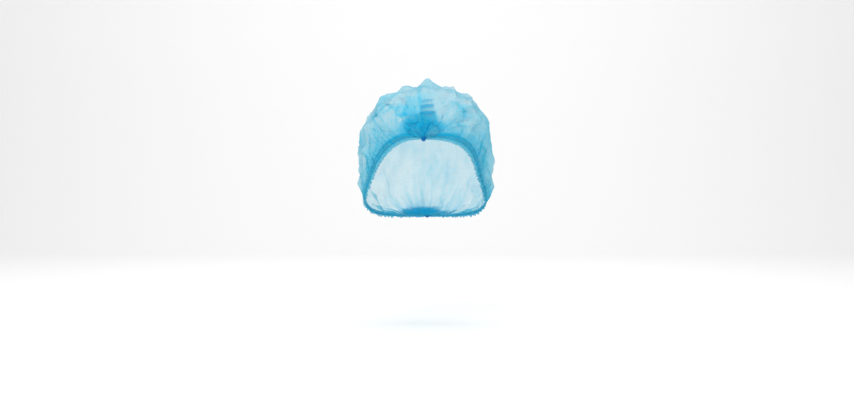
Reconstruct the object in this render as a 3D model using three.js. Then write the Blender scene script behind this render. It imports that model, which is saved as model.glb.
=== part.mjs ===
// A disposable clip cap: a pleated strip of light blue nonwoven web, welded together at both ends and
// opened out over the head. It is drawn in the shape it takes when worn, hollow where the head goes.
//
// Millimetres. +Z is up and the wearer looks along -Y, so +X is on the right of the front view. The origin is
// the middle of the head at the height of the brow, where the cap's elastic edge sits on the head.
//
// Two shares place everything on the cap. "along" runs from 0 at the front weld to 1 at the nape weld.
// "across" runs from -1 at the left elastic seam, over the ridge of the crown at 0, to 1 at the right one.

import * as THREE from "three";

// ---- Driving dimensions ----

const WALL = 1.2; // the web, drawn thicker than the real 0.15 mm so that it is a solid
const GAP = 0.5; // clearance between a bundle and the crown
const BUNDLE_END = 0.062; // share of the seam that each welded bundle of pleats takes
const BUNDLE_START = 0.012;
const BUNDLE_THICK = 3.6;
const HEM_SPAN = { start: 0.035, end: 0.95 }; // the stretch of seam with a turned hem and elastic

// The seam line, where the elastic gathers the web. One row for each station from weld to weld.
const SEAM = [
  { name: "front_weld", left: -4, right: -4, y: -101, z: -2 },
  { name: "forehead", left: -28, right: 27, y: -96, z: -1 },
  { name: "brow", left: -45, right: 47, y: -84, z: -7 },
  { name: "temple_front", left: -54, right: 56, y: -74, z: -14 },
  { name: "temple", left: -65, right: 64, y: -58, z: -27 },
  { name: "cheek", left: -74, right: 70, y: -38, z: -45 },
  { name: "ear_front", left: -82, right: 77, y: -14, z: -66 },
  { name: "ear_lobe", left: -84, right: 80, y: 9, z: -84 },
  { name: "behind_ear", left: -74, right: 71, y: 31, z: -96 },
  { name: "neck_side", left: -54, right: 52, y: 52, z: -101 },
  { name: "nape_side", left: -28, right: 28, y: 67, z: -103 },
  { name: "nape_weld", left: 0, right: 0, y: 72, z: -103 },
];

// The ridge of the crown, over the top of the head from weld to weld.
const RIDGE = [
  { name: "front_weld", x: -4, y: -101, z: -2 },
  { name: "hairline", x: -2, y: -107, z: 18 },
  { name: "brow_puff", x: -1, y: -104, z: 39 },
  { name: "front_slope", x: 0, y: -88, z: 56 },
  { name: "front_top", x: 0, y: -58, z: 67 },
  { name: "top", x: 0, y: -12, z: 71 },
  { name: "back_top", x: 0, y: 44, z: 69 },
  { name: "back_slope", x: 0, y: 92, z: 49 },
  { name: "back", x: 0, y: 120, z: 14 },
  { name: "back_bag", x: 0, y: 127, z: -26 },
  { name: "bag_foot", x: 0, y: 119, z: -64 },
  { name: "nape", x: 0, y: 98, z: -92 },
  { name: "nape_weld", x: 0, y: 72, z: -103 },
];

// Half width of the crown where it is fullest, at shares along it.
const FULLNESS = [
  { along: 0, left: 2, right: 2 },
  { along: 0.06, left: 24, right: 23 },
  { along: 0.12, left: 44, right: 41 },
  { along: 0.2, left: 64, right: 62 },
  { along: 0.3, left: 77, right: 76 },
  { along: 0.42, left: 85, right: 84 },
  { along: 0.55, left: 87, right: 86 },
  { along: 0.68, left: 86, right: 86 },
  { along: 0.8, left: 75, right: 75 },
  { along: 0.9, left: 51, right: 50 },
  { along: 1, left: 2, right: 2 },
];

// Puffs of slack web: where each one's middle is, how high it stands, and its half lengths in millimetres.
const PUFFS = [
  { name: "crest", along: 0.36, across: 0, height: 11, long: 24, wide: 8 },
  { name: "front_left", along: 0.23, across: -0.26, height: 5, long: 16, wide: 13 },
  { name: "front_right", along: 0.26, across: 0.24, height: 5, long: 18, wide: 13 },
  { name: "brow_left", along: 0.17, across: -0.55, height: 5, long: 16, wide: 16 },
  { name: "brow_right", along: 0.18, across: 0.55, height: 5, long: 18, wide: 15 },
  { name: "temple_left", along: 0.31, across: -0.6, height: 5, long: 16, wide: 14 },
  { name: "temple_right", along: 0.33, across: 0.64, height: 5, long: 16, wide: 14 },
  { name: "shoulder_left", along: 0.44, across: -0.53, height: 11, long: 26, wide: 14 },
  { name: "shoulder_right", along: 0.46, across: 0.4, height: 3, long: 24, wide: 10 },
  { name: "side_right_high", along: 0.48, across: 0.58, height: 5, long: 24, wide: 9 },
  { name: "side_left_mid", along: 0.5, across: -0.72, height: 4, long: 22, wide: 10 },
  { name: "side_left_low", along: 0.57, across: -0.88, height: 4, long: 22, wide: 12 },
  { name: "side_right_low", along: 0.56, across: 0.86, height: 9, long: 22, wide: 14 },
  { name: "top_left", along: 0.55, across: -0.2, height: 6, long: 20, wide: 16 },
  { name: "top_right", along: 0.57, across: 0.22, height: 7, long: 22, wide: 15 },
  { name: "back_left", along: 0.68, across: -0.42, height: 8, long: 24, wide: 18 },
  { name: "back_middle", along: 0.7, across: 0.02, height: 6, long: 20, wide: 16 },
  { name: "back_right", along: 0.7, across: 0.48, height: 7, long: 24, wide: 18 },
  { name: "bag_left", along: 0.81, across: -0.24, height: 7, long: 18, wide: 16 },
  { name: "bag_right", along: 0.82, across: 0.28, height: 8, long: 18, wide: 16 },
  { name: "nape_left", along: 0.88, across: -0.6, height: 5, long: 16, wide: 16 },
  { name: "nape_right", along: 0.88, across: 0.62, height: 5, long: 16, wide: 16 },
];

// Regular folds: gathers that run up from the elastic, and pleats that fan out from the welds.
const GATHERS = { count: 13, height: 2.4, peak: 0.82, reach: 0.36 };
const PLEATS = { count: 3, height: 2.6, reach: 0.2 };
const FLUTES = { count: 9, height: 1.1 };

// The turned hem's section. "out" is away from the crown in the plane of the web, "up" is off the head.
const HEM = [
  { out: 0.5, up: 0.9 },
  { out: 3.8, up: 0.9 },
  { out: 3.8, up: -0.9 },
  { out: 0.5, up: -0.9 },
  { out: 0.5, up: -1.9 },
  { out: 4.2, up: -1.9 },
  { out: 5.0, up: -0.6 },
  { out: 8.6, up: -0.6 },
  { out: 8.6, up: 0.6 },
  { out: 5.0, up: 0.6 },
  { out: 4.2, up: 1.9 },
  { out: 0.5, up: 1.9 },
];
const FRILL = { count: 12, height: 1.7, starts: 4.6, ends: 8.6, fade: 0.05 };

// The flat elastic that lies in the hem's channel.
const ELASTIC = [
  { out: 0.8, up: -0.5 },
  { out: 3.4, up: -0.5 },
  { out: 3.4, up: 0.5 },
  { out: 0.8, up: 0.5 },
];

// The pleats that stay closed above the front bundle, as one rippled pad on the crown.
const STACK = { from: 0.067, to: 0.134, halfWidth: 11, thick: 1.6, ripples: 4.5, ripple: 0.8, lift: 0.7 };

// The fused end of the pleats: a small tapered tab with a rounded foot.
const WELD = { topWidth: 8.4, footWidth: 5, length: 7, thick: 2.4, bevel: 0.4, nose: 1.6 };

// Grid steps for each kind of piece.
const CROWN_STEPS = { along: 46, across: 30 };
const BUNDLE_STEPS = { along: 5, across: 28 };
const STACK_STEPS = { along: 20, across: 4 };
const HEM_STEPS = 40;

// ---- The shape of the web ----

const curveThrough = (points) => {
  const curve = new THREE.CatmullRomCurve3(points, false, "centripetal");
  curve.arcLengthDivisions = 600;
  return curve;
};
const seams = {
  left: curveThrough(SEAM.map((row) => new THREE.Vector3(row.left, row.y, row.z))),
  right: curveThrough(SEAM.map((row) => new THREE.Vector3(row.right, row.y, row.z))),
};
const ridge = curveThrough(RIDGE.map((row) => new THREE.Vector3(row.x, row.y, row.z)));
const RIDGE_LENGTH = ridge.getLength();

// The crown's fullest half width on one side at a share along it, eased between the table's rows.
function fullness(along, side) {
  const last = FULLNESS.findIndex((row) => row.along >= along);
  const high = FULLNESS[Math.max(1, last)];
  const low = FULLNESS[Math.max(1, last) - 1];
  const share = (along - low.along) / (high.along - low.along);
  const before = FULLNESS[Math.max(0, FULLNESS.indexOf(low) - 1)];
  const after = FULLNESS[Math.min(FULLNESS.length - 1, FULLNESS.indexOf(high) + 1)];
  const slopeLow = (high[side] - before[side]) / (high.along - before.along || 1);
  const slopeHigh = (after[side] - low[side]) / (after.along - low.along || 1);
  const span = high.along - low.along;
  const s2 = share * share;
  const s3 = s2 * share;
  return (
    (2 * s3 - 3 * s2 + 1) * low[side] +
    (s3 - 2 * s2 + share) * slopeLow * span +
    (-2 * s3 + 3 * s2) * high[side] +
    (s3 - s2) * slopeHigh * span
  );
}

// A point on the smooth crown. Each section along the cap is part of an ellipse that stands on the two seams,
// swells to the crown's fullness beside the head and meets the ridge at its top.
function smoothPoint(along, across) {
  const left = seams.left.getPointAt(along);
  const right = seams.right.getPointAt(along);
  const foot = left.clone().add(right).multiplyScalar(0.5);
  const side = across < 0 ? "left" : "right";
  const sideways = (across < 0 ? left : right).clone().sub(foot);
  const half = sideways.length();
  const upward = ridge.getPointAt(along).sub(foot);
  const rise = upward.length();
  const full = Math.max(fullness(along, side), half * 1.02);
  const endAngle = Math.PI - Math.asin(half / full);
  const angle = endAngle * Math.abs(across);
  const radius = rise / (1 - Math.cos(endAngle));
  return foot
    .addScaledVector(sideways, (full * Math.sin(angle)) / half)
    .addScaledVector(upward, (radius * (Math.cos(angle) - Math.cos(endAngle))) / rise);
}

// The outward normal of any surface given as a function of along and across.
function normalOf(surface, along, across) {
  const step = 1e-3;
  const a = Math.min(Math.max(along, 2 * step), 1 - 2 * step);
  const c = Math.min(Math.max(across, -1 + step), 1 - step);
  const d1 = surface(a + step, c).sub(surface(a - step, c));
  const d2 = surface(a, c + step).sub(surface(a, c - step));
  return d2.cross(d1).normalize();
}

const smoothstep = THREE.MathUtils.smoothstep;

// How far the folds lift the web off the smooth crown.
function foldHeight(along, across) {
  const edge = Math.abs(across);
  let height = 0;
  for (const puff of PUFFS) {
    const dLong = ((along - puff.along) * RIDGE_LENGTH) / puff.long;
    const dWide = ((across - puff.across) * fullness(puff.along, "left") * 2) / puff.wide;
    height += puff.height * Math.exp(-Math.pow(dLong * dLong + dWide * dWide, 0.8));
  }
  const gatherShare =
    smoothstep(1 - edge, 0, 1 - GATHERS.peak) * (1 - smoothstep(1 - edge, 1 - GATHERS.peak, 1 - GATHERS.reach));
  const lively = 1 + 0.4 * Math.sin(9 * along + 4 * across);
  height += GATHERS.height * gatherShare * lively * Math.cos(2 * Math.PI * GATHERS.count * along + 2 * across);
  const fromBundle = Math.min(along, 1 - along) - BUNDLE_END;
  const fan = Math.exp(-Math.max(fromBundle, 0) / PLEATS.reach) * smoothstep(fromBundle, -0.001, 0.05);
  height += PLEATS.height * fan * Math.cos(2 * Math.PI * PLEATS.count * across) * (1 - edge * edge);
  return height * smoothstep(1 - edge, 0, 0.08) * smoothstep(Math.min(along, 1 - along), BUNDLE_END, 0.16);
}

const crownPoint = (along, across) =>
  smoothPoint(along, across).addScaledVector(normalOf(smoothPoint, along, across), foldHeight(along, across));

// ---- Building solids ----

// A closed solid between two grids of points, outer and inner, with a border of side faces.
function sheetSolid(outerAt, innerAt, steps) {
  const rows = steps.along + 1;
  const columns = steps.across + 1;
  const points = [];
  for (const at of [outerAt, innerAt]) {
    for (let i = 0; i < rows; i++) {
      for (let j = 0; j < columns; j++) points.push(at(i / steps.along, j / steps.across));
    }
  }
  const layer = rows * columns;
  const faces = [];
  const quad = (a, b, c, d) => faces.push(a, b, c, a, c, d);
  for (let i = 0; i < steps.along; i++) {
    for (let j = 0; j < steps.across; j++) {
      const a = i * columns + j;
      quad(a, a + 1, a + columns + 1, a + columns);
      quad(a + layer, a + columns + layer, a + columns + 1 + layer, a + 1 + layer);
    }
  }
  const border = [];
  for (let j = 0; j < steps.across; j++) border.push(j);
  for (let i = 0; i < steps.along; i++) border.push(i * columns + steps.across);
  for (let j = steps.across; j > 0; j--) border.push(steps.along * columns + j);
  for (let i = steps.along; i > 0; i--) border.push(i * columns);
  border.forEach((a, k) => {
    const b = border[(k + 1) % border.length];
    quad(b, a, a + layer, b + layer);
  });
  return solidFrom(points, faces);
}

function solidFrom(points, faces) {
  const geometry = new THREE.BufferGeometry().setFromPoints(points);
  geometry.setIndex(faces);
  geometry.computeVertexNormals();
  return geometry;
}

// The frame that a hem's section stands in at one place on a seam.
function seamFrame(along, across) {
  const seat = smoothPoint(along, across);
  const out = seat.clone().sub(smoothPoint(along, across * 0.97)).normalize();
  const up = normalOf(smoothPoint, along, across);
  up.addScaledVector(out, -up.dot(out)).normalize();
  return { seat, out, up };
}

// A closed section carried along one seam, waved off the head by wave(along, out).
function seamSweep(section, across, wave) {
  const points = [];
  for (let i = 0; i <= HEM_STEPS; i++) {
    const along = THREE.MathUtils.lerp(HEM_SPAN.start, HEM_SPAN.end, i / HEM_STEPS);
    const frame = seamFrame(along, across);
    for (const corner of section) {
      points.push(
        frame.seat
          .clone()
          .addScaledVector(frame.out, corner.out)
          .addScaledVector(frame.up, corner.up + wave(along, corner.out)),
      );
    }
  }
  const n = section.length;
  const faces = [];
  for (let i = 0; i < HEM_STEPS; i++) {
    for (let j = 0; j < n; j++) {
      const a = i * n + j;
      const b = i * n + ((j + 1) % n);
      faces.push(a, b, b + n, a, b + n, a + n);
    }
  }
  const outline = section.map((corner) => new THREE.Vector2(corner.out, corner.up));
  for (const [a, b, c] of THREE.ShapeUtils.triangulateShape(outline, [])) {
    const last = HEM_STEPS * n;
    faces.push(a, c, b, a + last, b + last, c + last);
  }
  if (across > 0) {
    for (let i = 0; i < faces.length; i += 3) [faces[i + 1], faces[i + 2]] = [faces[i + 2], faces[i + 1]];
  }
  return solidFrom(points, faces);
}

const blend = THREE.MathUtils.lerp;

// ---- The pieces ----

// The crown: one hollow wall of web between the two bundles and the two seams.
function crown() {
  const along = (i) => blend(BUNDLE_END, 1 - BUNDLE_END, i);
  const across = (j) => blend(-1, 1, j);
  const face = (offset) => (i, j) =>
    crownPoint(along(i), across(j)).addScaledVector(normalOf(smoothPoint, along(i), across(j)), offset);
  return sheetSolid(face(WALL / 2), face(-WALL / 2), CROWN_STEPS);
}

// A welded bundle: the pleats drawn together into a fluted fan between the weld and the crown's end.
function bundle(atNape) {
  const gapShare = GAP / seams.left.getLength();
  const along = (i) => {
    const share = blend(BUNDLE_START, BUNDLE_END - gapShare, i);
    return atNape ? 1 - share : share;
  };
  const across = (j) => (atNape ? blend(1, -1, j) : blend(-1, 1, j));
  const lift = (i, j) => {
    const flute = FLUTES.height * Math.cos(2 * Math.PI * FLUTES.count * (j - 0.5));
    const swell = Math.sin(Math.PI * Math.min(1, i * 1.1));
    return BUNDLE_THICK / 2 + (flute + 1) * swell;
  };
  const at = (i, j, height) =>
    smoothPoint(along(i), across(j)).addScaledVector(normalOf(smoothPoint, along(i), across(j)), height);
  return sheetSolid(
    (i, j) => at(i, j, lift(i, j)),
    (i, j) => at(i, j, -BUNDLE_THICK / 2),
    BUNDLE_STEPS,
  );
}

// The closed pleats above the front bundle: a narrow pad with ripples across it, lying on the crown.
function pleatStack() {
  const along = (i) => blend(STACK.from, STACK.to, i);
  const across = (i, j) => (blend(-1, 1, j) * STACK.halfWidth) / (2 * fullness(along(i), "left"));
  const at = (i, j, height) => {
    const normal = normalOf(crownPoint, along(i), across(i, j));
    return crownPoint(along(i), across(i, j)).addScaledVector(normal, height);
  };
  const ripple = (i) => STACK.ripple * (1 - Math.cos(2 * Math.PI * STACK.ripples * i));
  const seat = WALL / 2 + STACK.lift;
  return sheetSolid(
    (i, j) => at(i, j, seat + STACK.thick + ripple(i)),
    (i, j) => at(i, j, seat),
    STACK_STEPS,
  );
}

// The turned hem on one seam: a channel for the elastic, and a frill beyond it that lies flat at its ends.
function hem(across) {
  const wave = (along, out) => {
    const fromEnd = Math.min(along - HEM_SPAN.start, HEM_SPAN.end - along);
    const share = smoothstep(out, FRILL.starts, FRILL.ends) * smoothstep(fromEnd, 0, FRILL.fade);
    return FRILL.height * share * Math.sin(2 * Math.PI * FRILL.count * along);
  };
  return seamSweep(HEM, across, wave);
}

const elastic = (across) => seamSweep(ELASTIC, across, () => 0);

// The fused tab that holds a bundle's pleats together, drawn flat with its foot down.
function weld() {
  const outline = new THREE.Shape();
  outline.moveTo(-WELD.topWidth / 2, 0);
  outline.lineTo(-WELD.footWidth / 2, -WELD.length + WELD.nose);
  outline.quadraticCurveTo(0, -WELD.length - WELD.nose, WELD.footWidth / 2, -WELD.length + WELD.nose);
  outline.lineTo(WELD.topWidth / 2, 0);
  outline.closePath();
  const geometry = new THREE.ExtrudeGeometry(outline, {
    depth: WELD.thick - 2 * WELD.bevel,
    bevelEnabled: true,
    bevelThickness: WELD.bevel,
    bevelSize: WELD.bevel,
    bevelOffset: -WELD.bevel,
    bevelSegments: 1,
    curveSegments: 6,
  });
  return geometry.translate(0, 0, -WELD.thick / 2 + WELD.bevel);
}

// ---- Materials ----

const web = new THREE.MeshStandardMaterial({ color: 0x8fcfe2, roughness: 0.8, metalness: 0 });
const gatheredWeb = new THREE.MeshStandardMaterial({ color: 0x4bb3d1, roughness: 0.8, metalness: 0 });
const bundledWeb = new THREE.MeshStandardMaterial({ color: 0x239ccb, roughness: 0.75, metalness: 0 });
const fusedWeb = new THREE.MeshStandardMaterial({ color: 0x147fb8, roughness: 0.4, metalness: 0 });
const rubber = new THREE.MeshStandardMaterial({ color: 0x2f97b4, roughness: 0.6, metalness: 0 });

// ---- The cap ----

const cap = new THREE.Group();

function add(name, geometry, material) {
  const mesh = new THREE.Mesh(geometry, material);
  mesh.name = name;
  cap.add(mesh);
  return mesh;
}

add("crown", crown(), web);
for (const [side, across] of [
  ["left", -1],
  ["right", 1],
]) {
  add(side + "_hem", hem(across), gatheredWeb);
  add(side + "_elastic", elastic(across), rubber);
}
add("front_bundle", bundle(false), bundledWeb);
add("nape_bundle", bundle(true), bundledWeb);
add("front_pleat_stack", pleatStack(), gatheredWeb);

// Each weld carries on from its bundle, the way the pleats run there.
for (const { name, end, inward, drop } of [
  { name: "front_weld", end: 0, inward: 1, drop: 1.8 },
  { name: "nape_weld", end: 1, inward: -1, drop: 1.2 },
]) {
  const seat = ridge.getPointAt(end);
  const pleats = ridge.getTangentAt(end).multiplyScalar(inward);
  const face = normalOf(smoothPoint, end + inward * BUNDLE_START, 0);
  const sideways = pleats.clone().cross(face).normalize();
  const tab = add(name, weld(), fusedWeb);
  tab.quaternion.setFromRotationMatrix(new THREE.Matrix4().makeBasis(sideways, pleats, sideways.clone().cross(pleats)));
  tab.position.copy(seat).addScaledVector(pleats, -drop);
}

export default cap;
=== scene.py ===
"""A disposable clip cap in the shape it takes when worn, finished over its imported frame.

The cap is one strip of light blue spunbond nonwoven. Both ends of its pleats are welded into a clip, and a
flat elastic in each long edge gathers it. Opened out, the strip makes a bag that stands off the head in
puffs and folds. The web is see-through: one layer is pale, and the more layers lie over each other, the
deeper the blue.

Two shares place everything on the cap. "along" runs from 0 at the front weld to 1 at the nape weld, and
"across" from -1 at the left seam, over the ridge at 0, to 1 at the right seam. Tables are in millimetres,
and every mesh is in metres.
"""

import logging
from dataclasses import dataclass
from enum import Enum

import bpy
import numpy as np
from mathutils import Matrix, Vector


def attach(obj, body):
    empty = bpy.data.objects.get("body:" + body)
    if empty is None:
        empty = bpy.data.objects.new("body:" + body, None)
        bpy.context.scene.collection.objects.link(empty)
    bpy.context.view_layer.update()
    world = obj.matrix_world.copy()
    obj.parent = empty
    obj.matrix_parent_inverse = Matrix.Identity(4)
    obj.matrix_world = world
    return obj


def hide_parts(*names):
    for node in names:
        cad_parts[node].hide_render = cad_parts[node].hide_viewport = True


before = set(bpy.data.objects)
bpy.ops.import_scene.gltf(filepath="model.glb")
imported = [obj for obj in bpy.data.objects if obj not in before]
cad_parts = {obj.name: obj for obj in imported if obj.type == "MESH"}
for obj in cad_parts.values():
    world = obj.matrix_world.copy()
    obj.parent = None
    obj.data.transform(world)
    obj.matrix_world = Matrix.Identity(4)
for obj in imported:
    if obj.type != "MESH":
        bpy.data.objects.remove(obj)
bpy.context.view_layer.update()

Array = np.ndarray
Random = np.random.Generator
Piece = bpy.types.Object
Material = bpy.types.Material
Tree = bpy.types.NodeTree
Socket = bpy.types.NodeSocket

LOG = logging.getLogger("clip_cap")
MM = 0.001
BODY = "root"
SEED = 11
# How tightly web can be bunched, where 1 is the web of an evenly gathered bundle.
TIGHTEST = 1.4
# About how much web lies between the ridge and a seam, in millimetres.
HALF_GIRTH = 170.0
# Chords between two stations of a curve.
CHORDS = 64


# ---- Small tools ----


class Side(Enum):
    """A side of the cap as its front is seen; the value is the sign of X there."""

    LEFT = -1
    RIGHT = 1


class End(Enum):
    """A welded end of the cap; the value is its share along the cap."""

    FRONT = 0
    NAPE = 1

    @property
    def inward(self) -> int:
        """The sign of a step along the cap that leaves this end."""
        return 1 if self is End.FRONT else -1


def ease(values: Array, low: float, high: float) -> Array:
    """Rises smoothly from 0 at low to 1 at high: 3 t^2 - 2 t^3 of the clipped share t.

    Args:
        values: where to read the curve.
        low: where it leaves 0.
        high: where it reaches 1.

    Returns:
        The eased shares.
    """
    share = np.clip((np.asarray(values, float) - low) / (high - low), 0.0, 1.0)
    return share * share * (3.0 - 2.0 * share)


def unit(vectors: Array) -> Array:
    """Vectors scaled to length 1 along the last axis."""
    return vectors / np.maximum(np.linalg.norm(vectors, axis=-1, keepdims=True), 1e-12)


def fading(distance: Array, rows: tuple, start: float = 0.0) -> Array:
    """The start, and over it the height * exp(-distance / length) of each row of a height and a length."""
    return sum((height * np.exp(-distance / length) for height, length in rows), start)


def smooth_noise(shape: tuple[int, int], cells: tuple[int, int], rng: Random) -> Array:
    """A soft random field from -1 to 1: random values on a coarse lattice, joined by eased interpolation.

    Args:
        shape: rows and columns of the field.
        cells: lattice cells along the rows and the columns.
        rng: the source of the random values.

    Returns:
        The field, rows by columns.
    """
    lattice = rng.uniform(-1.0, 1.0, (cells[0] + 1, cells[1] + 1))
    rows = np.linspace(0, cells[0], shape[0], endpoint=False)
    columns = np.linspace(0, cells[1], shape[1], endpoint=False)
    i, j = rows.astype(int), columns.astype(int)
    a = ease(rows - i, 0, 1)[:, None]
    b = ease(columns - j, 0, 1)[None, :]
    low = lattice[np.ix_(i, j)] * (1 - b) + lattice[np.ix_(i, j + 1)] * b
    high = lattice[np.ix_(i + 1, j)] * (1 - b) + lattice[np.ix_(i + 1, j + 1)] * b
    return low * (1 - a) + high * a


def hermite(t: Array, start: Array, finish: Array, leaving: Array, arriving: Array, span: Array | float = 1.0) -> Array:
    """The cubic with given ends and end slopes: the sum of the four Hermite weights times them.

    Args:
        t: shares of the way from start to finish.
        start: value where t is 0.
        finish: value where t is 1.
        leaving: slope at the start.
        arriving: slope at the finish.
        span: how much of what the slopes are counted in lies between the two.

    Returns:
        The values at t.
    """
    return (
        (2 * t**3 - 3 * t**2 + 1) * start
        + (t**3 - 2 * t**2 + t) * leaving * span
        + (3 * t**2 - 2 * t**3) * finish
        + (t**3 - t**2) * arriving * span
    )


def curve_points(stations: Array, shares: Array) -> Array:
    """Points on a smooth curve through stations, at shares of its length.

    The curve is a centripetal Catmull-Rom spline: between two stations it is the cubic whose end slopes come
    from the neighbours, weighted by the square root of the distances. Its length is summed over short chords.

    Args:
        stations: the points it passes through, one row each.
        shares: shares of its length, from 0 to 1, in any shape.

    Returns:
        Points, with the shape of shares and a last axis of 3.
    """
    line, run = curve_chords(stations)
    at = np.asarray(shares, float) * run[-1]
    return np.stack([np.interp(at, run, line[:, k]) for k in range(3)], axis=-1)


def curve_chords(stations: Array) -> tuple[Array, Array]:
    """The short chords of the curve that curve_points reads.

    Args:
        stations: the points it passes through, one row each.

    Returns:
        The chords' ends, and the length run up to each.
    """
    ends = np.vstack([2 * stations[0] - stations[1], stations, 2 * stations[-1] - stations[-2]])
    gaps = np.sqrt(np.linalg.norm(np.diff(ends, axis=0), axis=1))[:, None]
    p0, p1, p2, p3 = ends[:-3], ends[1:-2], ends[2:-1], ends[3:]
    g0, g1, g2 = gaps[:-2], gaps[1:-1], gaps[2:]
    leaving = ((p1 - p0) / g0 - (p2 - p0) / (g0 + g1) + (p2 - p1) / g1) * g1
    arriving = ((p2 - p1) / g1 - (p3 - p1) / (g1 + g2) + (p3 - p2) / g2) * g1
    cubic = hermite(np.linspace(0, 1, CHORDS + 1)[:, None, None], p1, p2, leaving, arriving)
    line = np.vstack([cubic[:-1].transpose(1, 0, 2).reshape(-1, 3), stations[-1:]])
    return line, run_up(line)


def run_up(points: Array) -> Array:
    """The length run up to each point of a line, from 0."""
    return np.concatenate([[0], np.cumsum(np.linalg.norm(np.diff(points, axis=0), axis=-1))])


# ---- The form of the cap ----


@dataclass(frozen=True)
class Puff:
    """A puff of slack web: its middle, its height, and its half lengths, in millimetres."""

    name: str
    along: float
    across: float
    height: float
    long: float
    wide: float


@dataclass(frozen=True)
class Doubling:
    """A place where the web lies doubled (more above 0) or is drawn out thin (less), in millimetres."""

    along: float
    across: float
    more: float
    long: float
    wide: float


@dataclass(frozen=True)
class Tuck:
    """A fold along a line, where the web is drawn in and may double back over itself.

    Attributes:
        start: share along and across at one end of the line.
        finish: the same at the other end.
        width: how far from the line the web is drawn in, in millimetres.
        over: how much it doubles back; above 1 it overlaps.
        lift: how far the top layer stands off the middle one, in millimetres.
        more: how much more closely the web lies in it.
        bow: how far the line bends, in shares of its length.
    """

    start: tuple[float, float]
    finish: tuple[float, float]
    width: float
    over: float
    lift: float
    more: float
    bow: float = 0.0


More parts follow.
